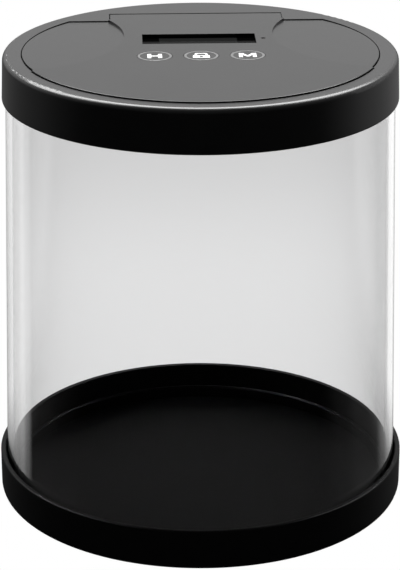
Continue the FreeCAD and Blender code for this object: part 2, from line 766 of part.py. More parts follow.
def finger_recess(side):
    """Sloping recess behind a round edge, deepest at the flap's back."""
    body = doc.addObject("PartDesign::Body", "Slope")
    rear = "chord_y + seam_gap + cut_past"
    rise = "recess_depth / (chord_y + recess_front)"
    sketch = polygon_sketch(body, "YZ_Plane", [
        ("-recess_front", "overall_height"),
        (rear, f"overall_height - ({rear} + recess_front) * {rise}"),
        (rear, "overall_height + cut_past"),
        ("-recess_front", "overall_height + cut_past"),
    ])
    slope = body.newObject("PartDesign::Pad", "Pad")
    slope.Profile = sketch
    bind(slope, "Length", "2 * lid_radius")
    slope.Midplane = True
    disc = cylinder("recess_radius", "2 * crown_thickness", f"{side} * recess_centre_x", "recess_centre_y",
                    "overall_height - crown_thickness")
    return common(body, disc)


KEY_PLACES = {"key_hours": "-key_pitch", "key_lock": "0", "key_minutes": "key_pitch"}


def keys():
    """Three round keys, each with a flange under the plate and a stem."""
    for label, x in KEY_PLACES.items():
        rounded = turned_body([
            ("0", "stem_under"),
            ("key_stem_radius", "stem_under"),
            ("key_stem_radius", "flange_under"),
            ("key_radius + key_flange_width", "flange_under"),
            ("key_radius + key_flange_width", "plate_under"),
            ("key_radius", "plate_under"),
            ("key_radius", "overall_height"),
            ("0", "overall_height"),
        ])
        round_circles(rounded, [("key_edge_radius", "key_radius", "overall_height")])
        part(label, place(rounded, x, "key_y"))


# ------------------------------------------------------------------ display and board
def display():
    """Window, glass and the frame that stands on the board."""
    glass = "panel_width / 2"
    part("lcd_window", display_block("window_half - lip_clearance", "lip_clearance",
                                     "window_under", "window_top"))
    part("lcd_panel", display_block(glass, "panel_margin", "panel_under", "panel_top"))
    part("lcd_holder", cut(
        display_block(f"{glass} + holder_wall", "panel_margin - holder_wall", "board_top", "panel_top"),
        display_block(glass, "panel_margin", "panel_under", "plate_under"),
    ))


def display_block(half_x, inset, z0, z1):
    """Block under the display slot, an inset away from the front and back of the window's rebate."""
    half_y = f"(window_depth - ({inset}))"
    return block(half_x, f"slot_y - {half_y}", f"slot_y + {half_y}", z0, z1)


def board_corners():
    """Where the board's screws go."""
    left = "board_boss_inset - board_left"
    right = "board_right - board_boss_inset"
    front = "board_boss_inset - board_front"
    back = "board_back - board_boss_inset"
    return [(left, front), (right, front), (right, back), (left, back)]


# left, front, width, length and height of each
CHIPS = {
    "timer chip": (2.0, 4.0, 9.0, 9.0, 1.4),
    "motor driver": (22.0, -9.0, 5.0, 6.0, 1.5),
    "crystal": (-14.0, 8.0, 8.0, 3.0, 2.2),
}


def control_board():
    """Board with everything that is soldered to it."""
    board = box("-board_left", "board_right", "-board_front", "board_back", "board_under", "board_top")
    holes = [cylinder("board_screw_radius", "board_thickness", x, y, "board_under")
             for x, y in board_corners()]
    part("control_board", cut(board, *holes))
    part("board_screws", group(*[fuse(
        cylinder("board_screw_radius", "board_thickness + board_screw_length", x, y, "board_under"),
        cylinder("board_screw_head", "head_thickness", x, y, "board_under - head_thickness"),
    ) for x, y in board_corners()]))
    part("board_chips", group(*[
        box(x, x + width, y, y + length, f"board_under - {height}", "board_under")
        for x, y, width, length, height in CHIPS.values()
    ]))
    part("tact_switches", group(*[tact_switch(x) for x in KEY_PLACES.values()]))
    can = cylinder("buzzer_radius", "buzzer_height", "buzzer_x", "buzzer_y", "board_top")
    sound_hole = cylinder("sound_hole_radius", "sound_hole_depth", "buzzer_x", "buzzer_y",
                          "board_top + buzzer_height - sound_hole_depth")
    part("buzzer", cut(can, sound_hole))
    lamp_top = "overall_height - led_drop"
    part("indicator_led", cylinder("led_radius", f"{lamp_top} - board_top", "led_x", "slot_y", "board_top"))


def tact_switch(x):
    """Switch under a key, with its plunger."""
    body = box(f"{x} - switch_width / 2", f"{x} + switch_width / 2", "key_y - switch_width / 2",
               "key_y + switch_width / 2", "board_top", "board_top + switch_height")
    plunger = cylinder("plunger_radius", "plunger_top - board_top - switch_height", x, "key_y",
                       "board_top + switch_height")
    return fuse(body, plunger)


# ------------------------------------------------------------------ tub
def tub_prism(radius, chord, z0, z1):
    """Disc with a straight back."""
    return common(
        cylinder(radius, f"({z1}) - ({z0})", z=z0),
        block("2 * lid_radius", "-2 * lid_radius", chord, z0, z1),
    )


def flap_tub():
    """Lower shell with the battery bay, the bolt's rails and the motor's cradle."""
    prism = tub_prism("tub_radius", "tub_chord", "tub_under", "tub_top")
    outer = round_edges(prism, "tub_edge_radius", at_height("tub_under"))
    shell = cut(outer, tub_prism("tub_inner", "tub_chord - tub_wall", "tub_deck", "tub_top + cut_past"))
    bay = box("-(bay_outer_x + bay_wall)", "-(bay_inner_x - bay_wall)", "-(bay_half + bay_wall)",
              "bay_half + bay_wall", "tub_under", "bay_top + bay_wall")
    rail_front = "-(tub_inner - guide_inset - guide_length - bolt_gap)"
    rail_back = "-(tub_radius - cradle_length)"
    tracks = [box(x0, x1, rail_front, rail_back, "tub_deck", "rail_top")
              for x0, x1 in (("-rail_x - rail_width", "-rail_x"), ("rail_x", "rail_x + rail_width"))]
    pad = block("rail_x", "-(tub_inner + tub_wall / 2)", rail_back, "tub_deck", "bolt_under - bolt_gap")
    saddles = [box(f"{x0} + saddle_inset", f"{x1} - saddle_inset", "-pinion_y - motor_width / 3",
                   "-pinion_y + motor_width / 3", "tub_deck", "motor_under")
               for x0, x1 in (("gearbox_x", "motor_x"), ("motor_x", "motor_end"))]
    solid = fuse(shell, bay, *tracks, pad, *saddles)
    bay_room = box("-bay_outer_x", "-bay_inner_x", "-bay_half", "bay_half",
                   "tub_under - cut_past", "bay_top")
    socket_half = "(door_half + stub_length + stub_end_gap)"
    sockets = cylinder("stub_radius + stub_clearance", f"2 * {socket_half}",
                       "-door_axis_x", f"-{socket_half}", "door_axis_z", axis="Y")
    bolt_slot = block("bolt_width / 2 + bolt_gap", "-lid_radius", "-(tub_inner - cut_past)",
                      "bolt_under - bolt_gap", "bolt_top + bolt_gap")
    screw_holes = [cylinder("flap_screw_radius", "tub_floor", *polar("post_circle", angle), "tub_under")
                   for angle in POST_ANGLES]
    heads = [cylinder("flap_screw_head", "head_thickness", *polar("post_circle", angle), "tub_under")
             for angle in POST_ANGLES]
    guide_holes = [cylinder("board_screw_radius", "tub_floor", x, y, "tub_under") for x, y in guide_spots()]
    return part("flap_tub", cut(solid, bay_room, sockets, bolt_slot, *screw_holes, *heads, *guide_holes))


def flap_screws():
    """Six screws up through the tub into the cover's posts."""
    screws = [fuse(
        cylinder("flap_screw_radius", "tub_floor + flap_screw_length - thread_end_gap",
                 *polar("post_circle", angle), "tub_under"),
        cylinder("flap_screw_head", "head_thickness", *polar("post_circle", angle), "tub_under"),
    ) for angle in POST_ANGLES]
    return part("flap_screws", group(*screws))


# ------------------------------------------------------------------ cells and door
CELL_ROWS = (("bay_inner_x + cell_gap + cell_radius", 1), ("bay_outer_x - cell_gap - cell_radius", -1))


def cells():
    """Two cells, head to tail, with their springs and contact plates."""
    bodies = []
    springs = []
    for x, way in CELL_ROWS:
        plate_face = "(bay_half - contact_thickness)"
        nub_tip = f"{way} * {plate_face}"
        nub_root = f"{way} * ({plate_face} - nub_length)"
        tail = f"{way} * ({plate_face} - nub_length - cell_length)"
        if way > 0:
            can = cylinder("cell_radius", "cell_length", f"-({x})", tail, "cell_z", axis="Y")
            nub = cylinder("nub_radius", "nub_length", f"-({x})", nub_root, "cell_z", axis="Y")
            coil_start = f"-{plate_face} + spring_wire"
        else:
            can = cylinder("cell_radius", "cell_length", f"-({x})", nub_root, "cell_z", axis="Y")
            nub = cylinder("nub_radius", "nub_length", f"-({x})", nub_tip, "cell_z", axis="Y")
            coil_start = f"{tail} + spring_wire"
        bodies.append(fuse(can, nub))
        springs.append(battery_spring(f"-({x})", coil_start))
    part("battery_cells", group(*bodies))
    part("battery_springs", group(*springs))
    part("battery_contacts", group(*[
        box("-bay_outer_x", "-bay_inner_x", y, f"{y} + contact_thickness",
            "cell_z - cell_radius / 2", "cell_z + cell_radius / 2")
        for y in ("-bay_half", "bay_half - contact_thickness")
    ]))


def battery_spring(x, y):
    """Coil that presses a cell's flat end."""
    spine = doc.addObject("Part::Helix", "Coil")
    bind(spine, "Radius", "spring_radius")
    bind(spine, "Height", "spring_length - 2 * spring_wire")
    bind(spine, "Pitch", "(spring_length - 2 * spring_wire) / spring_turns")
    spine.SegmentLength = 1
    place(spine, x, y, "cell_z", TURNS["Y"])
    wire = doc.addObject("Part::Circle", "Wire")
    bind(wire, "Radius", "spring_wire")
    place(wire, f"{x} + spring_radius", y, "cell_z", Rotation())
    coil = doc.addObject("Part::Sweep", "Spring")
    coil.Sections = [wire]
    coil.Spine = (spine, [])
    coil.Solid = True
    coil.Frenet = True
    return coil


def battery_door():
    """Door with a round hinged edge, two stubs and finger grooves."""
    plate = box("-door_free_x", "-door_axis_x", "-door_half", "door_half", "tub_under", "tub_deck")
    edge = cylinder("tub_floor / 2", "2 * door_half", "-door_axis_x", "-door_half", "door_axis_z", axis="Y")
    stubs = cylinder("stub_radius", "2 * (door_half + stub_length)", "-door_axis_x",
                     "-(door_half + stub_length)", "door_axis_z", axis="Y")
    grooves = [box(f"-door_free_x + {n} * grip_pitch", f"-door_free_x + ({n} + 0.5) * grip_pitch",
                   "-grip_width / 2", "grip_width / 2", "tub_under - cut_past", "tub_under + grip_depth")
               for n in range(1, int(value("grip_count")) + 1)]
    return part("battery_door", cut(fuse(plate, edge, stubs), *grooves))


# ------------------------------------------------------------------ bolt, pinion and motor
PRESSURE_ANGLE = math.radians(20)
TOOTH_TIP = 0.85
TOOTH_ROOT = 1.25
FLANK_STEPS = 5


def tooth_thickness():
    """Thickness of a rack tooth on the rack's pitch line."""
    return (math.pi * value("tooth_module") - value("tooth_backlash")) / 2


def across(corners, length):
    """Prism of a closed outline in the YZ plane, centred along X."""
    points = [Vector(-length / 2, y, z) for y, z in corners]
    return Part.Face(Part.makePolygon(points + points[:1])).extrude(Vector(length, 0, 0))


def latch_bolt():
    """Bolt with a rack on its back, drawn in."""
    module = value("tooth_module")
    pitch = math.pi * module
    taper = math.tan(PRESSURE_ANGLE) * module
    foot = tooth_thickness() / 2 + TOOTH_ROOT * taper
    tip = tooth_thickness() / 2 - TOOTH_TIP * taper
    top = value("bolt_top")
    tip_z = value("pitch_line") + TOOTH_TIP * module
    profile = [(-foot, top), (foot, top), (tip, tip_z), (-tip, tip_z)]
    rack = Part.makeBox(
        value("bolt_width"), value("bolt_length"), value("bolt_thickness"),
        Vector(-value("bolt_width") / 2, -value("bolt_tip"), value("bolt_under")),
    )
    one = across(profile, value("pinion_width"))
    for n in range(int(value("rack_teeth"))):
        rack = rack.fuse(one.translated(Vector(0, (n - RACK_LEAD) * pitch - value("pinion_y"), 0)))
    item = doc.addObject("Part::Feature", "Bolt")
    item.Shape = rack.removeSplitter()
    return part("latch_bolt", item)


RACK_LEAD = 1.5  # pitches from the first tooth of the rack to the pinion, drawn in


def involute(angle):
    """How far an involute has turned where its pressure angle is this."""
    return math.tan(angle) - angle


def pinion_tooth(width):
    """Tooth that points up, with involute flanks above the base circle."""
    module = value("tooth_module")
    radius = value("pitch_radius")
    shift = value("tooth_shift")
    base = radius * math.cos(PRESSURE_ANGLE)
    tip = radius + (shift + TOOTH_TIP) * module
    thickness = tooth_thickness() + 2 * shift * module * math.tan(PRESSURE_ANGLE)
    half_turn = thickness / (2 * radius) + involute(PRESSURE_ANGLE)
    radii = [base + (tip - base) * n / FLANK_STEPS for n in range(FLANK_STEPS + 1)]
    flank = [(r, half_turn - involute(math.acos(base / r))) for r in radii]
    flank.insert(0, (radius / 2, half_turn))
    outline = [(r * math.sin(turn), r * math.cos(turn)) for r, turn in flank]
    mirrored = [(-y, z) for y, z in reversed(outline)]
    return across(outline + mirrored, width)


def drive_pinion():
    """Toothed wheel on the motor's shaft, in mesh with the rack."""
    count = int(value("tooth_count"))
    width = value("pinion_width")
    root = value("pitch_radius") + (value("tooth_shift") - TOOTH_ROOT) * value("tooth_module")
    wheel = Part.makeCylinder(root, width, Vector(-width / 2, 0, 0), Vector(1, 0, 0))
    one = pinion_tooth(width)
    for n in range(count):
        wheel = wheel.fuse(one.rotated(Vector(), Vector(1, 0, 0), 360 * (n + count % 2 / 2) / count))
    hole = Part.makeCylinder(value("shaft_radius"), width, Vector(-width / 2, 0, 0), Vector(1, 0, 0))
    item = doc.addObject("Part::Feature", "Pinion")
    item.Shape = wheel.cut(hole).removeSplitter()
    item.Placement.Base = Vector(0, -value("pinion_y"), value("pinion_z"))
    return part("drive_pinion", item)


def motor():
    """Geared motor lying across the flap, with its shaft."""
    spot = ("-pinion_y", "pinion_z")
    part("motor_shaft", cylinder("shaft_radius", "pinion_width + gearbox_gap + bearing_depth",
                                 "-pinion_width / 2", *spot, axis="X"))
    gearbox = box("gearbox_x", "motor_x", "-pinion_y - motor_width / 2", "-pinion_y + motor_width / 2",
                  "motor_under", "motor_under + motor_height")
    bearing = cylinder("shaft_radius + shaft_gap", "bearing_depth + shaft_gap",
                       "gearbox_x", *spot, axis="X")
    part("motor_gearbox", cut(gearbox, bearing))
    can = common(
        cylinder("motor_width / 2", "motor_length", "motor_x", *spot, axis="X"),
        box("motor_x", "motor_end", "-pinion_y - motor_width / 2", "-pinion_y + motor_width / 2",
            "motor_under", "motor_under + motor_height"),
    )
    part("motor_can", can)


def guide_spots():
    """Where the guide's two screws go."""
    x = "guide_width / 2 - board_screw_head"
    y = "-(tub_inner - guide_inset - guide_length / 2)"
    return [(f"-({x})", y), (x, y)]


def bolt_guide():
    """Bridge that keeps the bolt down on its pad."""
    front = "-(tub_inner - guide_inset)"
    rear = "-(tub_inner - guide_inset - guide_length)"
    bridge = block("guide_width / 2", front, rear, "tub_deck", "bolt_top + bolt_gap + guide_wall")
    tunnel = block("rail_x", f"{front} - cut_past", f"{rear} + cut_past", "tub_deck", "bolt_top + bolt_gap")
    foot_top = "tub_deck + guide_foot"
    shoulders = [box(x0, x1, f"{front} - cut_past", f"{rear} + cut_past", foot_top, "overall_height")
                 for x0, x1 in (("-guide_width", "-(rail_x + guide_wall / 2)"),
                                ("rail_x + guide_wall / 2", "guide_width"))]
    holes = [cylinder("board_screw_radius", "guide_foot", x, y, "tub_deck") for x, y in guide_spots()]
    part("bolt_guide", cut(bridge, tunnel, *shoulders, *holes))
    part("guide_screws", group(*[fuse(
        cylinder("board_screw_radius", "tub_floor + guide_foot", x, y, "tub_under"),
        cylinder("board_screw_head", "head_thickness", x, y, foot_top),
    ) for x, y in guide_spots()]))


# ------------------------------------------------------------------ wires
# share of the way from start to end at each point of a route, and its offset from there
MOTOR_LEAD = (
    (0.0, (0.0, 0.0, 0.0)),
    (0.0, (3.2, 0.0, 0.0)),
    (0.28, (4.1, 0.0, -0.2)),
    (0.74, (1.1, 0.0, -1.3)),
    (1.0, (0.0, 0.0, 0.0)),
)
BATTERY_LEAD = (
    (0.0, (0.0, 0.0, 0.0)),
    (0.0, (3.0, 0.0, 0.0)),
    (0.65, (0.0, 0.0, 0.0)),
    (1.0, (0.0, 0.0, 0.0)),
)
LEAD_PITCH = 2.0


def wire_path(points):
    """Straight runs joined by tangent arcs, as one wire, with the arcs' radii."""
    edges = []
    radii = []
    start = points[0]
    for before, corner, after in zip(points, points[1:], points[2:]):
        run_in = (corner - before).normalize()
        run_out = (after - corner).normalize()
        turn = run_in.getAngle(run_out)
        setback = 0.45 * min((corner - before).Length, (after - corner).Length)
        radius = setback / math.tan(turn / 2)
        entry = corner - run_in * setback
        leave = corner + run_out * setback
        centre = corner + (run_out - run_in).normalize() * (radius / math.cos(turn / 2))
        middle = centre + (corner - centre).normalize() * radius
        edges.append(Part.LineSegment(start, entry).toShape())
        edges.append(Part.Arc(entry, middle, leave).toShape())
        radii.append(radius)
        start = leave
    edges.append(Part.LineSegment(start, points[-1]).toShape())
    return Part.Wire(edges), radii


def lead(label, points):
    """Insulated wire along a path, whose volume is its section times its length."""
    radius = value("lead_radius")
    path, radii = wire_path(points)
    section = Part.Wire(Part.makeCircle(radius, points[0], points[1] - points[0]))
    solid = path.makePipeShell([section], True, True)
    share = solid.Volume / (math.pi * radius ** 2 * path.Length)
    print(f"{label}: radii {[round(r, 1) for r in radii]}, length {path.Length:.1f}, volume {share:.4f}")
    return solid


def lead_pair(label, start, end, route):
    """Two wires side by side from start to end along one route."""
    points = [start + (end - start) * share + Vector(*offset) for share, offset in route]
    item = doc.addObject("Part::Feature", "Leads")
    item.Shape = Part.makeCompound([
        lead(label, [point + Vector(0, side * LEAD_PITCH / 2, 0) for point in points]) for side in (-1, 1)
    ])
    return part(label, item)


def leads():
    """Motor and battery wires up to the underside of the board."""
    top = value("board_under") - value("lead_radius") - value("lead_gap")
    motor_end = Vector(value("motor_end"), -value("pinion_y"), top + value("motor_lead_rise"))
    front_pads = Vector(value("board_right - motor_pads_x"), value("pads_inset - board_front"), top)
    lead_pair("motor_leads", motor_end, front_pads, MOTOR_LEAD)
    bay_side = Vector(value("bay_wall - bay_inner_x"), value("battery_lead_y"), top - value("battery_lead_drop"))
    left_pads = Vector(value("battery_pads_x - board_left"), value("battery_pads_y"), top)
    lead_pair("battery_leads", bay_side, left_pads, BATTERY_LEAD)


# ------------------------------------------------------------------ make, check and write
base_tray()
rubber_feet()
clear_wall()
lid_ring()
neck_ring()
ring_screws()
hinge_pin()
rest_bumpers()
flap_cover()
keys()
display()
control_board()
flap_tub()
flap_screws()
cells()
battery_door()
latch_bolt()
drive_pinion()
motor()
bolt_guide()
leads()
doc.recompute()

for item in doc.Objects:
    if {"Invalid", "Error"} & set(item.State):
        raise RuntimeError(f"{item.Name} ({item.Label}) failed: {item.State}")
for item in parts:
    if item.Shape.isNull() or not item.Shape.isValid() or not item.Shape.Solids:
        raise RuntimeError(f"{item.Label} has no valid solid")
for item in parts:
    item.Shape.exportStep(f"parts/{item.Label}.step")
    print(f"{item.Label}: {len(item.Shape.Solids)} solids, {item.Shape.Volume:.1f} mm3")
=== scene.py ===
import math

import bmesh
import bpy
from mathutils import Matrix, Vector


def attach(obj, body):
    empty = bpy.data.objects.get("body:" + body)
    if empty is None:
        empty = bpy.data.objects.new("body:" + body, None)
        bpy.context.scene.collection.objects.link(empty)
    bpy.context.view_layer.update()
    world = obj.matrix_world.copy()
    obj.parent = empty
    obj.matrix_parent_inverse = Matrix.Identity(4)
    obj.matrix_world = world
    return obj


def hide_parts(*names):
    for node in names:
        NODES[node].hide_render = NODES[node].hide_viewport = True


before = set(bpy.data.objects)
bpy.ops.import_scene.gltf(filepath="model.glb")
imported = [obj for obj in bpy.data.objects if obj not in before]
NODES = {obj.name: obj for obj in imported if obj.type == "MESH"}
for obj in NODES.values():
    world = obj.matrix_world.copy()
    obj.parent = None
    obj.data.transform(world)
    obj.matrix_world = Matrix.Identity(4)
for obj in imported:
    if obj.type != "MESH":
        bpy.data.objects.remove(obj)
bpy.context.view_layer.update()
MM = 0.001

# sizes shared with the solids, in millimetres and degrees
LID_TOP = 169.0
KEY_PLACES = {"key_hours": -16.4, "key_lock": 0.0, "key_minutes": 16.4}
KEY_Y = -7.9
KEY_RADIUS = 6.1
SLOT_Y = 14.7
PANEL_TOP = 166.2
BOARD_UNDER = 158.25
FLAP_SEAT = 152.5
RING_SEAT = 159.2
GUIDE_SEAT = 155.4
FLAP_SCREW_CIRCLE = 54.2
FLAP_SCREW_ANGLES = (-143, -110, -42, 2, 37, 143)
RING_SCREW_CIRCLE = 65.4
FOOT_CIRCLE = 58.0
BAY_SIDES = (-50.09, -28.29)
BAY_MIDDLE = -39.2
CELL_Z = 158.95
CELL_RADIUS = 5.15
CELL_TIP_Y = 24.2

# the part of the window that shows the display: middle and half sizes, in millimetres
VIEW_CENTRE = -0.2
VIEW_Y = 15.6
VIEW_HALF = (14.1, 5.1)

# ------------------------------------------------------------------ node trees


class Tree:
    """A node tree, with short calls for the nodes that every tree here uses."""

    def __init__(self, tree):
        self.tree = tree

    def node(self, kind, **settings):
        item = self.tree.nodes.new("ShaderNode" + kind)
        for name, setting in settings.items():
            setattr(item, name, setting)
        return item

    def link(self, source, target):
        self.tree.links.new(source, target)

    def feed(self, socket, content):
        """Put a number or colour on a socket, or link another socket to it."""
        if isinstance(content, bpy.types.NodeSocket):
            self.link(content, socket)
        elif isinstance(content, tuple) and len(content) == 3 and socket.type == "RGBA":
            socket.default_value = (*content, 1.0)
        else:
            socket.default_value = content

    def math(self, operation, *values):
        item = self.node("Math", operation=operation)
        for socket, content in zip(item.inputs, values):
            self.feed(socket, content)
        return item.outputs[0]

    def parts(self, vector):
        """The X, Y and Z of a vector."""
        item = self.node("SeparateXYZ")
        self.link(vector, item.inputs[0])
        return item.outputs

    def curve(self, source, stops):
        """Smooth curve of a value between -1 and 1 through stops of (value, level)."""
        item = self.node("ValToRGB")
        self.link(self.math("MULTIPLY_ADD", source, 0.5, 0.5), item.inputs[0])
        item.color_ramp.interpolation = "EASE"
        elements = item.color_ramp.elements
        while len(elements) < len(stops):
            elements.new(0.5)
        for element, (place, level) in zip(elements, stops):
            element.position = 0.5 * place + 0.5
            element.color = (level, level, level, 1.0)
        return item.outputs[0]


class Shader(Tree):
    """A material with one Principled shader, and calls for procedural detail sized in millimetres."""

    def __init__(self, name):
        self.material = bpy.data.materials.new(name)
        self.material.use_nodes = True
        super().__init__(self.material.node_tree)
        self.body = self.tree.nodes["Principled BSDF"]
        self.place = self.node("TexCoord").outputs["Object"]

    def set(self, **sockets):
        """Feed the shader's sockets, and return the finished material."""
        for name, content in sockets.items():
            self.feed(self.body.inputs[name.replace("_", " ")], content)
        return self.material

    def stretch(self, x, y, z):
        """Object coordinates scaled along each axis."""
        item = self.node("VectorMath", operation="MULTIPLY")
        self.link(self.place, item.inputs[0])
        item.inputs[1].default_value = (x, y, z)
        return item.outputs[0]

    def noise(self, size, detail=2.0, vector=None, roughness=0.5):
        """Noise whose features are about this many millimetres across."""
        item = self.node("TexNoise")
        self.link(vector or self.place, item.inputs["Vector"])
        item.inputs["Scale"].default_value = 1.0 / (size * MM)
        item.inputs["Detail"].default_value = detail
        item.inputs["Roughness"].default_value = roughness
        return item.outputs["Fac"]

    def cells(self, size):
        """Distance to the middle of the nearest of many small cells."""
        item = self.node("TexVoronoi")
        self.link(self.place, item.inputs["Vector"])
        item.inputs["Scale"].default_value = 1.0 / (size * MM)
        return item.outputs["Distance"]

    def span(self, fac, low, high, to_low, to_high):
        """Map a factor from one range to another, clamped."""
        item = self.node("MapRange", clamp=True)
        for socket, content in zip(item.inputs, (fac, low, high, to_low, to_high)):
            self.feed(socket, content)
        return item.outputs[0]

    def blend(self, fac, a, b):
        """Mix two colours."""
        item = self.node("Mix", data_type="RGBA")
        colour_a, colour_b = [socket for socket in item.inputs if socket.type == "RGBA"]
        self.feed(item.inputs[0], fac)
        self.feed(colour_a, a)
        self.feed(colour_b, b)
        return next(socket for socket in item.outputs if socket.type == "RGBA")

    def bump(self, height, depth, normal=None):
        """Bump whose full height is this many millimetres, on top of another bump if one is given."""
        item = self.node("Bump")
        item.inputs["Distance"].default_value = depth * MM
        self.link(height, item.inputs["Height"])
        if normal:
            self.link(normal, item.inputs["Normal"])
        return item.outputs[0]

    def axis(self, letter, scale=1.0):
        """One object coordinate, in millimetres times a scale."""
        return self.math("MULTIPLY", self.parts(self.place)["XYZ".index(letter)], scale / MM)

    def within(self, value, middle, half, soft=0.15):
        """1 inside a band of a coordinate, with a soft edge, and 0 outside it."""
        away = self.math("ABSOLUTE", self.math("SUBTRACT", value, middle))
        return self.span(away, half - soft, half + soft, 1.0, 0.0)


def emptied(owner):
    """The node tree of a world, light or material, without its first nodes."""
    owner.use_nodes = True
    owner.node_tree.nodes.clear()
    return Tree(owner.node_tree)


# ------------------------------------------------------------------ materials


def plastic(name, shade, rough, grain=0.35, depth=0.004, haze=0.04, specular=0.5):
    """Moulded plastic: spark-eroded grain, slow changes of gloss and a trace of handling."""
    s = Shader(name)
    smudge = s.noise(4.5, 4.0, roughness=0.65)
    gloss = s.math("ADD", s.span(s.noise(18.0, 3.0), 0.3, 0.7, rough - haze, rough + haze),
                   s.span(smudge, 0.45, 0.75, 0.0, haze))
    worn = tuple(c * 1.4 for c in shade)
    flow = s.bump(s.noise(32.0, 1.0), 0.02)
    return s.set(
        Base_Color=s.blend(s.span(smudge, 0.35, 0.75, 0.0, 1.0), shade, worn),
        Roughness=gloss,
        Normal=s.bump(s.noise(grain, 3.0), depth, flow),
        Specular_IOR_Level=specular,
    )


def metal(name, shade, rough, along=(1.0, 1.0, 1.0), lines=0.12, depth=0.002):
    """Metal with slight tarnish and fine working marks, longest along the axis with the smallest scale."""
    s = Shader(name)
    marks = s.noise(lines, 2.0, s.stretch(*along))
    stain = s.noise(3.0, 4.0)
    dull = tuple(c * 0.75 for c in shade)
    return s.set(
        Base_Color=s.blend(s.span(stain, 0.4, 0.7, 0.0, 0.7), shade, dull),
        Metallic=1.0,
        Roughness=s.math("ADD", s.span(marks, 0.3, 0.7, rough - 0.05, rough + 0.05),
                         s.span(stain, 0.4, 0.7, 0.0, 0.12)),
        Normal=s.bump(marks, depth),
    )


def clear_plastic():
    """Clear moulded tube: faint flow and almost invisible handling marks."""
    s = Shader("clear_plastic")
    return s.set(
        Base_Color=(0.955, 0.955, 0.957),
        Roughness=s.span(s.noise(2.5, 5.0, roughness=0.7), 0.55, 0.8, 0.0, 0.03),
        IOR=1.49,
        Transmission_Weight=1.0,
        Normal=s.bump(s.noise(45.0, 1.0), 0.004),
    )


def window_plastic():
    """Smoked window, printed black round the part that shows the display."""
    s = Shader("window_plastic")
    view = s.math("MULTIPLY", s.within(s.axis("X"), VIEW_CENTRE, VIEW_HALF[0]),
                  s.within(s.axis("Y"), VIEW_Y, VIEW_HALF[1]))
    return s.set(
        Base_Color=s.blend(view, (0.0006, 0.0006, 0.0006), (0.0075, 0.0077, 0.0076)),
        Roughness=s.span(s.noise(3.0, 4.0), 0.4, 0.8, 0.05, 0.12),
        Specular_IOR_Level=0.005,
        Alpha=s.span(view, 0.0, 1.0, 1.0, 0.8),
        Normal=s.bump(s.noise(20.0, 1.0), 0.01),
    )


def display_glass():
    """Reflective display: grey-green liquid-crystal cell with a polariser's faint weave."""
    s = Shader("display_glass")
    weave = s.noise(0.2, 2.0, s.stretch(1.0, 4.0, 1.0))
    return s.set(
        Base_Color=s.blend(s.span(weave, 0.3, 0.7, 0.0, 1.0), (0.075, 0.08, 0.078), (0.092, 0.098, 0.095)),
        Roughness=s.span(s.noise(5.0, 3.0), 0.3, 0.7, 0.12, 0.22),
        Normal=s.bump(weave, 0.001),
    )


def board_laminate():
    """Solder mask over patches of copper tracks that run along X or along Y, with vias and a bare edge."""
    s = Shader("board_laminate")
    patches = s.noise(6.0, 1.0)
    tracks = 0.0
    for letter, low, high in (("X", 0.50, 0.51), ("Y", 0.50, 0.49)):
        wave = s.math("ABSOLUTE", s.math("SUBTRACT", s.math("FRACT", s.axis(letter, 0.55)), 0.5))
        line = s.math("MULTIPLY", s.span(wave, 0.12, 0.16, 1.0, 0.0), s.span(patches, low, high, 0.0, 1.0))
        tracks = s.math("MAXIMUM", tracks, line)
    vias = s.span(s.cells(3.1), 0.07, 0.09, 1.0, 0.0)
    mask = s.blend(tracks, (0.006, 0.060, 0.026), (0.014, 0.115, 0.048))
    upright = s.parts(s.node("NewGeometry").outputs["Normal"])[2]
    face = s.span(s.math("ABSOLUTE", upright), 0.5, 0.8, 0.0, 1.0)
    return s.set(
        Base_Color=s.blend(face, (0.24, 0.21, 0.09), s.blend(vias, mask, (0.55, 0.47, 0.25))),
        Roughness=s.span(s.noise(8.0, 2.0), 0.3, 0.7, 0.25, 0.38),
        Normal=s.bump(s.math("MAXIMUM", tracks, vias), 0.02),
    )


def acetal(name, shade):
    """Milky bearing plastic that lets a little light in."""
    s = Shader(name)
    flow = s.noise(9.0, 3.0)
    warm = (shade[0], shade[1] * 0.965, shade[2] * 0.90)
    return s.set(
        Base_Color=s.blend(s.span(flow, 0.35, 0.7, 0.0, 1.0), shade, warm),
        Roughness=s.span(flow, 0.3, 0.7, 0.34, 0.46),
        Subsurface_Weight=0.15,
        Subsurface_Scale=0.0008,
        Normal=s.bump(s.noise(0.25, 3.0), 0.003),
    )


def rubber(name, shade, rough=0.75):
    """Soft rubber: matt, slightly dusty, with a fine pebble."""
    s = Shader(name)
    dust = s.span(s.noise(2.2, 5.0, roughness=0.7), 0.5, 0.8, 0.0, 0.6)
    grey = tuple(c * 1.8 + 0.01 for c in shade)
    return s.set(
        Base_Color=s.blend(dust, shade, grey),
        Roughness=s.span(dust, 0.0, 0.6, rough - 0.08, rough + 0.1),
        Normal=s.bump(s.cells(0.28), 0.012),
    )


def cell_wrap():
    """Shrunk printed sleeve: dark body, a coppery band at the terminal end and a thin rule below it."""
    s = Shader("cell_wrap")
    # the two cells lie side by side and point opposite ways
    way = s.span(s.axis("X"), BAY_MIDDLE - 0.1, BAY_MIDDLE + 0.1, -1.0, 1.0)
    along = s.math("MULTIPLY", s.axis("Y"), way)
    copper = s.span(along, 11.8, 12.0, 0.0, 1.0)
    rule = s.within(along, 10.6, 0.25, 0.05)
    sheen = s.noise(1.6, 3.0, s.stretch(1.0, 0.3, 1.0))
    body = s.blend(copper, (0.016, 0.017, 0.019), (0.50, 0.25, 0.11))
    return s.set(
        Base_Color=s.blend(rule, body, (0.55, 0.52, 0.46)),
        Roughness=s.span(sheen, 0.3, 0.7, 0.2, 0.32),
        Metallic=s.math("MULTIPLY", copper, 0.6),
        Normal=s.bump(sheen, 0.01),
    )


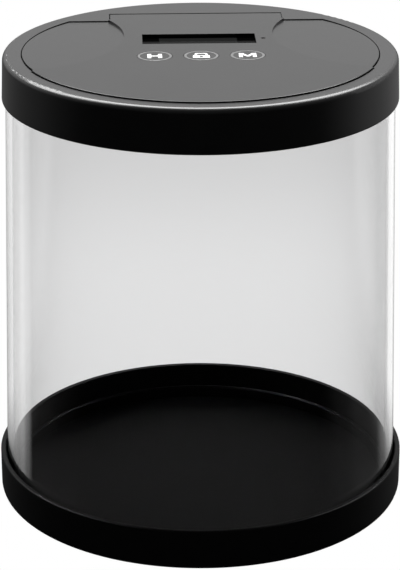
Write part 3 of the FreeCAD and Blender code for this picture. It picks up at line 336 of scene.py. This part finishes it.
def lead_insulation():
    """Red wire insulation with a soft extruded grain."""
    s = Shader("lead_insulation")
    grain = s.noise(0.5, 3.0)
    return s.set(
        Base_Color=s.blend(s.span(grain, 0.3, 0.7, 0.0, 1.0), (0.42, 0.022, 0.018), (0.52, 0.035, 0.028)),
        Roughness=s.span(grain, 0.3, 0.7, 0.38, 0.5),
        Normal=s.bump(grain, 0.006),
    )


def lamp_plastic():
    """Tinted lamp that isn't lit: almost black, with a trace of red."""
    s = Shader("lamp_plastic")
    tint = s.span(s.noise(0.5), 0.3, 0.7, 0.0, 1.0)
    return s.set(
        Base_Color=s.blend(tint, (0.003, 0.0012, 0.0012), (0.006, 0.002, 0.002)),
        Roughness=s.span(s.noise(0.4), 0.3, 0.7, 0.3, 0.4),
        Specular_IOR_Level=0.03,
        Normal=s.bump(s.noise(0.6), 0.004),
    )


def print_ink(name, shade, rough=0.45):
    """Screen-printed ink, slightly uneven in colour and gloss."""
    s = Shader(name)
    film = s.noise(0.3, 4.0)
    thin = tuple(c * 0.9 for c in shade)
    return s.set(
        Base_Color=s.blend(s.span(film, 0.35, 0.7, 0.0, 1.0), shade, thin),
        Roughness=s.span(film, 0.3, 0.7, rough - 0.05, rough + 0.08),
        Normal=s.bump(film, 0.003),
    )


BLACK = (0.0011, 0.0011, 0.0012)
BRIGHT_STEEL = (0.52, 0.52, 0.53)
BRASS = (0.60, 0.42, 0.17)
FINISHES = {
    "tray_plastic": plastic("tray_plastic", BLACK, 0.36, haze=0.02, specular=0.06),
    "ring_plastic": plastic("ring_plastic", BLACK, 0.3, depth=0.001, haze=0.012),
    "cover_plastic": plastic("cover_plastic", BLACK, 0.25, depth=0.002, haze=0.012),
    "key_plastic": plastic("key_plastic", BLACK, 0.25, depth=0.002, haze=0.012, grain=0.3),
    "neck_plastic": plastic("neck_plastic", (0.010, 0.010, 0.0105), 0.38),
    "tub_plastic": plastic("tub_plastic", (0.032, 0.032, 0.033), 0.44, grain=0.5, depth=0.012),
    "door_plastic": plastic("door_plastic", (0.036, 0.036, 0.037), 0.42, grain=0.5, depth=0.012),
    "holder_plastic": plastic("holder_plastic", (0.018, 0.018, 0.018), 0.5),
    "chip_epoxy": plastic("chip_epoxy", (0.012, 0.012, 0.013), 0.55, grain=0.2, depth=0.008),
    "switch_plastic": plastic("switch_plastic", (0.03, 0.03, 0.031), 0.4, grain=0.3),
    "buzzer_plastic": plastic("buzzer_plastic", (0.008, 0.008, 0.008), 0.38, grain=0.4),
    "foot_rubber": rubber("foot_rubber", (0.008, 0.008, 0.008)),
    "bumper_silicone": rubber("bumper_silicone", (0.2, 0.2, 0.2), 0.6),
    "clear_plastic": clear_plastic(),
    "window_plastic": window_plastic(),
    "display_glass": display_glass(),
    "board_laminate": board_laminate(),
    "guide_plastic": acetal("guide_plastic", (0.72, 0.71, 0.68)),
    "bolt_plastic": acetal("bolt_plastic", (0.74, 0.73, 0.70)),
    "cell_wrap": cell_wrap(),
    "lead_insulation": lead_insulation(),
    "lamp_plastic": lamp_plastic(),
    "screw_steel": metal("screw_steel", (0.46, 0.46, 0.47), 0.28, lines=0.3),
    "pin_steel": metal("pin_steel", BRIGHT_STEEL, 0.2, along=(0.1, 1.0, 1.0)),
    "motor_steel": metal("motor_steel", (0.5, 0.5, 0.5), 0.26, along=(0.15, 1.0, 1.0)),
    "shaft_steel": metal("shaft_steel", BRIGHT_STEEL, 0.18, along=(1.0, 0.2, 0.2)),
    "contact_steel": metal("contact_steel", (0.62, 0.61, 0.59), 0.22, along=(0.2, 1.0, 1.0)),
    "spring_steel": metal("spring_steel", (0.60, 0.60, 0.59), 0.2),
    "gearbox_brass": metal("gearbox_brass", BRASS, 0.25, along=(1.0, 0.2, 1.0)),
    "pinion_brass": metal("pinion_brass", BRASS, 0.22, along=(0.15, 1.0, 1.0)),
}
# each node comes with a plain material named after its slot
for item in NODES.values():
    materials = item.data.materials
    finish = FINISHES[materials[0].name]
    materials.clear()
    materials.append(finish)

# ------------------------------------------------------------------ pieces
SHARP_ANGLE = math.radians(35)


def piece(name, mesh, body, material, stands_for=()):
    """Put a finished mesh in the scene, riding on a body."""
    item = bpy.data.objects.new(name, mesh)
    bpy.context.scene.collection.objects.link(item)
    mesh.materials.clear()
    mesh.materials.append(material)
    mesh.shade_smooth()
    mesh.set_sharp_from_angle(angle=SHARP_ANGLE)
    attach(item, body)
    if stands_for:
        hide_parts(*stands_for)


def polar(radius, degrees):
    """X and Y of a point on a circle round the origin."""
    return radius * math.cos(math.radians(degrees)), radius * math.sin(math.radians(degrees))


def ring(radius, centre=(0.0, 0.0), count=64):
    """Circle as an outline."""
    return [Vector((centre[0] + radius * math.cos(a), centre[1] + radius * math.sin(a)))
            for a in (2 * math.pi * k / count for k in range(count))]


def rounded(points, radius, steps=4):
    """Closed outline with each corner turned into an arc."""
    out = []
    count = len(points)
    for i, corner in enumerate(points):
        corner = Vector(corner)
        before = Vector(points[i - 1]) - corner
        after = Vector(points[(i + 1) % count]) - corner
        reach = min(radius, 0.45 * before.length, 0.45 * after.length)
        start = corner + before.normalized() * reach
        end = corner + after.normalized() * reach
        for k in range(steps + 1):
            t = k / steps
            out.append((1 - t) ** 2 * start + 2 * t * (1 - t) * corner + t ** 2 * end)
    return out


def sheet_mesh(name, outlines, at, thickness, soft=0.012):
    """Thin printed film with softened edges. Outlines inside others are holes."""
    data = bpy.data.curves.new(name, "CURVE")
    data.dimensions = "2D"
    data.fill_mode = "BOTH"
    data.extrude = (thickness / 2 - soft) * MM
    data.bevel_depth = soft * MM
    data.bevel_resolution = 1
    data.offset = -soft * MM
    for outline in outlines:
        spline = data.splines.new("POLY")
        spline.points.add(len(outline) - 1)
        for point, spot in zip(spline.points, outline):
            point.co = (spot[0] * MM, spot[1] * MM, 0.0, 1.0)
        spline.use_cyclic_u = True
    holder = bpy.data.objects.new(name, data)
    mesh = bpy.data.meshes.new_from_object(holder)
    bpy.data.objects.remove(holder)
    bpy.data.curves.remove(data)
    form = bmesh.new()
    form.from_mesh(mesh)
    bmesh.ops.remove_doubles(form, verts=form.verts, dist=1e-7)
    bmesh.ops.translate(form, verts=form.verts, vec=Vector(at) * MM)
    form.to_mesh(mesh)
    form.free()
    return mesh


def lathe(form, profile, place, count=48):
    """Turn a profile of (radius, height) points about the Z axis of a placement.

    The profile starts and ends on the axis. Returns the rows of vertices, one for each point.
    """
    rows = []
    for radius, height in profile:
        if radius == 0.0:
            rows.append([form.verts.new(place @ Vector((0.0, 0.0, height)))] * count)
            continue
        rows.append([form.verts.new(place @ Vector((*spot, height))) for spot in ring(radius, count=count)])
    for low, high in zip(rows, rows[1:]):
        for k in range(count):
            corners = [low[k], low[(k + 1) % count], high[(k + 1) % count], high[k]]
            unique = list(dict.fromkeys(corners))
            if len(unique) > 2:
                form.faces.new(unique)
    return rows


def mesh_of(name, form):
    """Mesh in metres from a form made in millimetres."""
    bmesh.ops.recalc_face_normals(form, faces=form.faces)
    bmesh.ops.scale(form, verts=form.verts, vec=(MM, MM, MM))
    mesh = bpy.data.meshes.new(name)
    form.to_mesh(mesh)
    form.free()
    return mesh


# ------------------------------------------------------------------ key legends
LETTER_H = [rounded([
    (-2.6, -2.6), (-1.2, -2.6), (-1.2, -0.62), (1.2, -0.62), (1.2, -2.6), (2.6, -2.6),
    (2.6, 2.6), (1.2, 2.6), (1.2, 0.62), (-1.2, 0.62), (-1.2, 2.6), (-2.6, 2.6),
], 0.18)]
LETTER_M = [rounded([
    (-3.1, -2.6), (-1.75, -2.6), (-1.75, 0.5), (-0.55, -1.7), (0.55, -1.7), (1.75, 0.5), (1.75, -2.6),
    (3.1, -2.6), (3.1, 2.6), (1.6, 2.6), (0.0, -0.25), (-1.6, 2.6), (-3.1, 2.6),
], 0.18)]
# body and shackle, the opening in the shackle, and the keyhole
PADLOCK = [
    rounded([(-3.05, -2.9), (3.05, -2.9), (2.9, 0.45), (2.45, 0.45), (2.1, 3.15), (-2.1, 3.15), (-2.45, 0.45),
             (-2.9, 0.45)], 0.5),
    rounded([(-1.65, 0.5), (1.65, 0.5), (1.35, 2.35), (-1.35, 2.35)], 0.35),
    rounded([(-0.3, -2.1), (0.3, -2.1), (0.42, -1.4), (0.65, -1.05), (0.52, -0.5), (0.0, -0.3),
             (-0.52, -0.5), (-0.65, -1.05), (-0.42, -1.4)], 0.2),
]
INK_RING = print_ink("ring_ink", (0.065, 0.065, 0.065))
INK_GLYPH = print_ink("glyph_ink", (0.5, 0.5, 0.5))
INK_THICKNESS = 0.04
INK_SUNK = 0.01
RING_WIDTH = 0.9
for key, glyph in (("key_hours", LETTER_H), ("key_lock", PADLOCK), ("key_minutes", LETTER_M)):
    at = (KEY_PLACES[key], KEY_Y, LID_TOP + INK_THICKNESS / 2 - INK_SUNK)
    circle = sheet_mesh(f"{key}_ring", [ring(KEY_RADIUS), ring(KEY_RADIUS - RING_WIDTH)], at, INK_THICKNESS)
    piece(f"{key}_ring", circle, key, INK_RING)
    sign = sheet_mesh(f"{key}_sign", glyph, at, INK_THICKNESS)
    piece(f"{key}_sign", sign, key, INK_GLYPH)

# ------------------------------------------------------------------ display
DIGIT_HALF = (1.75, 3.1)
DIGIT_PLACES = (-9.6, -3.9, 3.5, 9.2)
STROKE = 0.42
# what the gaps between the strokes take off a level and an upright stroke
LEVEL_GAPS = 0.75
UPRIGHT_GAPS = 0.62
COLON_X = -0.2
DOT_RADIUS = 0.38
DOT_RISE = 1.4
DIGIT_THICKNESS = 0.02
DIGIT_LIFT = 0.008
DIGIT_SOFT = 0.004


def bar(x, y, length, level):
    """Six-sided stroke of a digit, level or upright."""
    long, half = length / 2, STROKE / 2
    points = [(-long, 0.0), (-long + half, half), (long - half, half), (long, 0.0),
              (long - half, -half), (-long + half, -half)]
    return [Vector((x + u, y + v)) if level else Vector((x + v, y + u)) for u, v in points]


def digit(x):
    """Seven strokes of one digit."""
    wide, tall = DIGIT_HALF
    across, up = wide - STROKE / 2, tall - STROKE
    strokes = [bar(x, SLOT_Y + row * up, 2 * wide - LEVEL_GAPS, True) for row in (-1, 0, 1)]
    strokes += [bar(x + side * across, SLOT_Y + row * up / 2, tall - UPRIGHT_GAPS, False)
                for side in (-1, 1) for row in (-1, 1)]
    return strokes


marks = [stroke for x in DIGIT_PLACES for stroke in digit(x + VIEW_CENTRE)]
marks += [ring(DOT_RADIUS, (VIEW_CENTRE + COLON_X, SLOT_Y + row * DOT_RISE), 16) for row in (-1, 1)]
INK_DIGIT = print_ink("digit_ink", (0.062, 0.066, 0.064), 0.2)
digits = sheet_mesh("lcd_digits", marks, (0.0, 0.0, PANEL_TOP + DIGIT_LIFT), DIGIT_THICKNESS, DIGIT_SOFT)
piece("lcd_digits", digits, "flap", INK_DIGIT)

# ------------------------------------------------------------------ screws
SCREW_SIDES = 32
THREAD_PITCH = 0.55
POINT_LENGTH = 0.5
NECK_LENGTH = 0.2
UP, DOWN = 1, -1


def screw_profile(head, shank):
    """(radius, height) points from the tip, over the thread, to the top of the head."""
    head_radius, head_height = head
    shank_radius, shank_length = shank
    soft = 0.28 * head_height
    profile = [(0.0, -shank_length), (0.35 * shank_radius, -shank_length)]
    height = -shank_length + POINT_LENGTH
    while height < -THREAD_PITCH:
        profile += [(0.8 * shank_radius, height), (shank_radius, height + 0.35 * THREAD_PITCH)]
        height += THREAD_PITCH
    profile += [(0.85 * shank_radius, -NECK_LENGTH), (0.85 * shank_radius, 0.0), (head_radius - 0.1, 0.0),
                (head_radius, 0.1), (head_radius, head_height - soft),
                (head_radius - 0.35 * soft, head_height - 0.35 * soft), (head_radius - soft, head_height)]
    return profile


def screw(form, spot, facing, head, shank):
    """Screw with a rounded head, a cross recess and a rolled thread.

    The spot is the middle of the head's seat. The head faces up or down.
    """
    head_radius, head_height = head
    place = Matrix.Translation(Vector(spot)) @ Matrix.Diagonal((1.0, 1.0, facing, 1.0))
    rim = lathe(form, screw_profile(head, shank), place, SCREW_SIDES)[-1]
    arm, half = 0.6 * head_radius, 0.13 * head_radius
    cross = [(arm, half), (half, half), (half, arm), (-half, arm), (-half, half), (-arm, half),
             (-arm, -half), (-half, -half), (-half, -arm), (half, -arm), (half, -half), (arm, -half)]
    corners = len(cross)
    top = [form.verts.new(place @ Vector((x, y, head_height))) for x, y in cross]
    deep = [form.verts.new(place @ Vector((0.75 * x, 0.75 * y, 0.35 * head_height))) for x, y in cross]
    edges = [form.edges.new((top[k], top[(k + 1) % corners])) for k in range(corners)]
    edges += [form.edges.get((rim[k], rim[(k + 1) % SCREW_SIDES])) for k in range(SCREW_SIDES)]
    bmesh.ops.triangle_fill(form, edges=edges, use_beauty=True)
    for k in range(corners):
        form.faces.new([top[k], top[(k + 1) % corners], deep[(k + 1) % corners], deep[k]])
    centre = form.verts.new(place @ Vector((0.0, 0.0, 0.3 * head_height)))
    for k in range(corners):
        form.faces.new([deep[k], deep[(k + 1) % corners], centre])


SCREWS = {
    # node: body, middles of the heads' seats, way the head faces, head and shank as radius and length
    "flap_screws": ("flap", [(*polar(FLAP_SCREW_CIRCLE, a), FLAP_SEAT) for a in FLAP_SCREW_ANGLES],
                    DOWN, (1.9, 0.9), (1.0, 8.4)),
    "ring_screws": ("container", [(*polar(RING_SCREW_CIRCLE, a), RING_SEAT) for a in range(0, 360, 60)],
                    DOWN, (1.45, 0.9), (0.8, 6.3)),
    "board_screws": ("flap", [(x, y, BOARD_UNDER) for x in (-24.69, 37.7) for y in (-15.7, 26.9)],
                     DOWN, (1.6, 0.9), (0.8, 4.6)),
    "guide_screws": ("flap", [(x, -54.1, GUIDE_SEAT) for x in (-7.9, 7.9)], UP, (1.6, 0.9), (0.8, 3.8)),
}
for node, (body, seats, facing, head, shank) in SCREWS.items():
    form = bmesh.new()
    for seat in seats:
        screw(form, seat, facing, head, shank)
    piece(f"{node}_set", mesh_of(f"{node}_set", form), body, FINISHES["screw_steel"], [node])

# ------------------------------------------------------------------ feet
# half section of a foot: hollow underneath, with a softened edge
FOOT = [(0.0, 0.2), (2.6, 0.2), (2.8, 0.15), (3.0, 0.0), (4.7, 0.0), (4.92, 0.08), (5.0, 0.3), (5.0, 1.4),
        (0.0, 1.4)]
form = bmesh.new()
for angle in (45, 135, 225, 315):
    lathe(form, FOOT, Matrix.Translation(Vector((*polar(FOOT_CIRCLE, angle), 0.0))), 64)
piece("feet", mesh_of("feet", form), "container", FINISHES["foot_rubber"], ["rubber_feet"])

# ------------------------------------------------------------------ cells
# half sections along a cell, from the tip of its terminal at 0 down to its tail
BAY_GAP = 0.4
SHOULDER = -1.2
TAIL = -44.5
SLEEVE = [(0.0, SHOULDER - 0.35), (4.0, SHOULDER - 0.35), (4.05, SHOULDER - 0.05), (4.7, SHOULDER),
          (CELL_RADIUS - 0.12, SHOULDER - 0.08), (CELL_RADIUS, SHOULDER - 0.35),
          (CELL_RADIUS, TAIL + 0.35), (CELL_RADIUS - 0.1, TAIL + 0.08), (4.75, TAIL),
          (4.4, TAIL + 0.05), (4.35, TAIL + 0.3), (0.0, TAIL + 0.3)]
TERMINAL = [(0.0, 0.0), (1.55, 0.0), (1.82, -0.1), (1.9, -0.4), (1.9, -1.05), (2.1, -1.2), (3.9, -1.2),
            (4.0, -1.35), (4.0, -1.6), (0.0, -1.6)]
BASE = [(0.0, TAIL + 0.28), (4.3, TAIL + 0.28), (4.3, TAIL + 0.12), (4.1, TAIL + 0.04), (0.0, TAIL + 0.04)]
sleeves = bmesh.new()
ends = bmesh.new()
for x, way in ((BAY_SIDES[1] - BAY_GAP - CELL_RADIUS, 1), (BAY_SIDES[0] + BAY_GAP + CELL_RADIUS, -1)):
    turn = Matrix.Rotation(math.radians(-90 * way), 4, "X")
    place = Matrix.Translation(Vector((x, way * CELL_TIP_Y, CELL_Z))) @ turn
    lathe(sleeves, SLEEVE, place)
    lathe(ends, TERMINAL, place)
    lathe(ends, BASE, place)
piece("cell_sleeves", mesh_of("cell_sleeves", sleeves), "flap", FINISHES["cell_wrap"],
      ["battery_cells"])
piece("cell_ends", mesh_of("cell_ends", ends), "flap", FINISHES["contact_steel"])

# ------------------------------------------------------------------ board
# left and near edges, width and length of the two chips that have legs
CHIP_PLACES = ((2.0, 4.0, 9.0, 9.0), (22.0, -9.0, 5.0, 6.0))
LEG_PITCH = 1.27
LEG_START = 0.75
LEG_WIDTH = 0.45
LEG_LENGTH = 0.9
LEG_UNDER = BOARD_UNDER - 0.16
LEG_TOP = BOARD_UNDER - 0.01


def block_into(form, low, high, soft=0.03):
    """Box with bevelled edges."""
    made = bmesh.ops.create_cube(form, size=1.0)["verts"]
    low, high = Vector(low), Vector(high)
    bmesh.ops.scale(form, verts=made, vec=high - low)
    bmesh.ops.translate(form, verts=made, vec=(low + high) / 2)
    edges = {edge for vert in made for edge in vert.link_edges}
    bmesh.ops.bevel(form, geom=list(edges), offset=soft, segments=1, affect="EDGES")


form = bmesh.new()
for x, y, width, length in CHIP_PLACES:
    for k in range(int(length / LEG_PITCH)):
        row = y + LEG_START + LEG_PITCH * k
        for start in (x - LEG_LENGTH, x + width):
            block_into(form, (start, row, LEG_UNDER), (start + LEG_LENGTH, row + LEG_WIDTH, LEG_TOP))
piece("chip_legs", mesh_of("chip_legs", form), "flap", FINISHES["contact_steel"])

# ------------------------------------------------------------------ surround
# light level against a direction's height, front to back and side to side, each from -1 to 1
UPPER_HEIGHT = ((0.0, 0.0), (0.06, 0.74), (0.4, 0.74), (0.6, 0.9), (1.0, 1.0))
UPPER_BACK = ((-1.0, 0.14), (-0.6, 0.12), (-0.2, 0.25), (0.4, 0.9), (1.0, 1.0))
LOWER_HEIGHT = ((-0.62, 0.0), (-0.42, 0.35), (-0.28, 1.0), (0.0, 1.1))
LOWER_BACK = ((-0.3, 0.05), (0.0, 0.5), (0.24, 1.0), (1.0, 1.1))
LOWER_SIDE = ((-1.0, 0.14), (0.0, 0.17), (0.8, 0.3), (1.0, 0.36))
# share of the surround's light that reaches what lies inside the container
INSIDE_LIGHT = 0.35
# light that passes one side of the wall goes in and out of its plastic: a transmission depth of 2
ONE_SIDE = 2.5
# light that was reflected has a depth of 1 or more
REFLECTED = 0.5


def surround():
    """Soft light from all round, brightest from above and behind.

    The camera sees it white, also straight through the container. Light that turned in the container's
    wall sees its back half white.
    """
    world = bpy.data.worlds.new("studio")
    bpy.context.scene.world = world
    sky = emptied(world)
    side, back, height = sky.parts(sky.node("TexCoord").outputs["Generated"])
    upper = sky.math("MULTIPLY", sky.curve(height, UPPER_HEIGHT), sky.curve(back, UPPER_BACK))
    lower = sky.math("MULTIPLY", sky.curve(back, LOWER_BACK), sky.curve(side, LOWER_SIDE))
    lower = sky.math("MULTIPLY", lower, sky.curve(height, LOWER_HEIGHT))
    below = sky.math("LESS_THAN", height, 0.0)
    light = sky.math("ADD", sky.math("MULTIPLY", lower, below), upper)
    path = sky.node("LightPath").outputs
    inside = sky.math("GREATER_THAN", path["Transmission Depth"], ONE_SIDE)
    lost = sky.math("MULTIPLY", inside, 1.0 - INSIDE_LIGHT)
    light = sky.math("MULTIPLY", light, sky.math("SUBTRACT", 1.0, lost))
    bounces = sky.math("ADD", path["Glossy Depth"], path["Diffuse Depth"])
    straight = sky.math("LESS_THAN", bounces, REFLECTED)
    turned = sky.math("MULTIPLY", sky.math("SUBTRACT", 1.0, inside), sky.math("GREATER_THAN", back, 0.0))
    through = sky.math("MULTIPLY", path["Is Transmission Ray"], sky.math("MAXIMUM", straight, turned))
    seen = sky.math("MAXIMUM", path["Is Camera Ray"], through)
    glow = sky.node("Background")
    sky.link(sky.math("MAXIMUM", light, seen), glow.inputs["Color"])
    sky.link(glow.outputs[0], sky.node("OutputWorld").inputs[0])


surround()

# ------------------------------------------------------------------ floor
# brightness against metres behind the middle, for light that crossed the container
FAR_FLOOR = ((0.0, 0.92), (0.2, 0.96), (0.45, 0.8), (1.0, 0.7))
# the same for light that turned inside the wall
TURNED_FLOOR = ((0.0, 0.0), (0.09, 1.0))


def floor_glow():
    """Even glow, as an overlit studio table has.

    Light that turned inside the container's wall sees only the part well behind the container.
    Light that crossed the container sees it fade into the distance. From below it is clear.
    """
    material = bpy.data.materials.new("floor")
    shade = emptied(material)
    path = shade.node("LightPath").outputs
    y = shade.parts(shade.node("NewGeometry").outputs["Position"])[1]
    turned = shade.math("GREATER_THAN", path["Glossy Depth"], REFLECTED)
    near = shade.math("LESS_THAN", path["Transmission Depth"], ONE_SIDE)
    behind = shade.math("MULTIPLY", near, shade.curve(y, TURNED_FLOOR))
    kept = shade.math("MAXIMUM", shade.math("SUBTRACT", 1.0, turned), behind)
    level = shade.math("MAXIMUM", near, shade.curve(y, FAR_FLOOR))
    glow = shade.node("Emission")
    shade.link(shade.math("MULTIPLY", kept, level), glow.inputs["Strength"])
    mix = shade.node("MixShader")
    shade.link(shade.node("NewGeometry").outputs["Backfacing"], mix.inputs[0])
    shade.link(glow.outputs[0], mix.inputs[1])
    shade.link(shade.node("BsdfTransparent").outputs[0], mix.inputs[2])
    shade.link(mix.outputs[0], shade.node("OutputMaterial").inputs[0])
    return material


def floor():
    """Large plain round floor that isn't mirrored in the object and doesn't shade it."""
    mesh = bpy.data.meshes.new("floor")
    form = bmesh.new()
    bmesh.ops.create_circle(form, cap_ends=True, segments=96, radius=4.0)
    form.to_mesh(mesh)
    form.free()
    mesh.materials.append(floor_glow())
    item = bpy.data.objects.new("floor", mesh)
    bpy.context.scene.collection.objects.link(item)
    item.visible_glossy = False
    item.visible_shadow = False


floor()

# ------------------------------------------------------------------ lights
# level of each light across its width, from -1 at the left end to 1 at the right end
OVERHEAD_ACROSS = ((-1.0, 0.0), (-0.6, 0.9), (-0.3, 1.0), (0.3, 1.0), (0.6, 0.9), (1.0, 0.0))
SHEEN_ACROSS = ((-0.87, 0.0), (-0.68, 0.9), (-0.55, 1.5), (-0.41, 1.0), (-0.26, 0.45), (0.0, 0.3),
                (0.14, 0.4), (0.24, 1.1), (0.34, 0.8), (0.46, 0.4), (0.7, 0.0))
# level of the sheen light against height over distance from the middle
SHEEN_SLOPE = ((-0.5, 0.0), (-0.4, 1.0))
SHEEN_SIZE = (5.4, 1.2)


def softbox(name, at, aim, size, watts, across, slope=None):
    """Soft area light that the camera doesn't see, graded across its width and, with a slope, in height."""
    width, length = size
    data = bpy.data.lights.new(name, "AREA")
    data.shape = "RECTANGLE"
    data.size = width
    data.size_y = length
    data.energy = watts
    item = bpy.data.objects.new(name, data)
    item.location = at
    item.rotation_euler = (Vector(aim) - Vector(at)).to_track_quat("-Z", "Y").to_euler()
    item.visible_camera = False
    bpy.context.scene.collection.objects.link(item)
    shade = emptied(data)
    x, y, z = shade.parts(shade.node("NewGeometry").outputs["Position"])
    level = shade.curve(shade.math("MULTIPLY", x, 2.0 / width), across)
    if slope:
        square = shade.math("ADD", shade.math("MULTIPLY", x, x), shade.math("MULTIPLY", y, y))
        away = shade.math("SQRT", square)
        level = shade.math("MULTIPLY", level, shade.curve(shade.math("DIVIDE", z, away), slope))
    glow = shade.node("Emission")
    shade.link(level, glow.inputs["Strength"])
    shade.link(glow.outputs[0], shade.node("OutputLight").inputs[0])
    return item


softbox("overhead", (0.0, 0.62, 1.3), (0.0, 0.0, 0.17), (3.0, 0.8), 98.0, OVERHEAD_ACROSS)

# low behind the container, for the soft bands down the clear wall's sides: only the wall's surface shows it.
# With pi watts for each square metre, its levels are its brightness.
SHEEN_WATTS = math.pi * SHEEN_SIZE[0] * SHEEN_SIZE[1]
sheen = softbox("sheen", (0.0, 1.2, -0.6), (0.0, 0.0, -0.6), SHEEN_SIZE, SHEEN_WATTS,
                SHEEN_ACROSS, SHEEN_SLOPE)
sheen.visible_transmission = False
lit = bpy.data.collections.new("sheen_group")
lit.objects.link(NODES["clear_wall"])
sheen.light_linking.receiver_collection = lit

# ------------------------------------------------------------------ camera
AZIMUTH = math.radians(-2.15)
ELEVATION = math.radians(21.39)
DISTANCE = 0.846
TARGET = Vector((-0.00015, 0.0, 0.07909))
data = bpy.data.cameras.new("camera")
data.lens = 144.44
data.sensor_width = 36.0
data.clip_start = 0.01
camera = bpy.data.objects.new("camera", data)
way = Vector((math.sin(AZIMUTH) * math.cos(ELEVATION), -math.cos(AZIMUTH) * math.cos(ELEVATION),
              math.sin(ELEVATION)))
camera.location = TARGET + DISTANCE * way
camera.rotation_euler = (-way).to_track_quat("-Z", "Y").to_euler()
bpy.context.scene.collection.objects.link(camera)
bpy.context.scene.camera = camera
bpy.context.scene.view_settings.view_transform = "Standard"
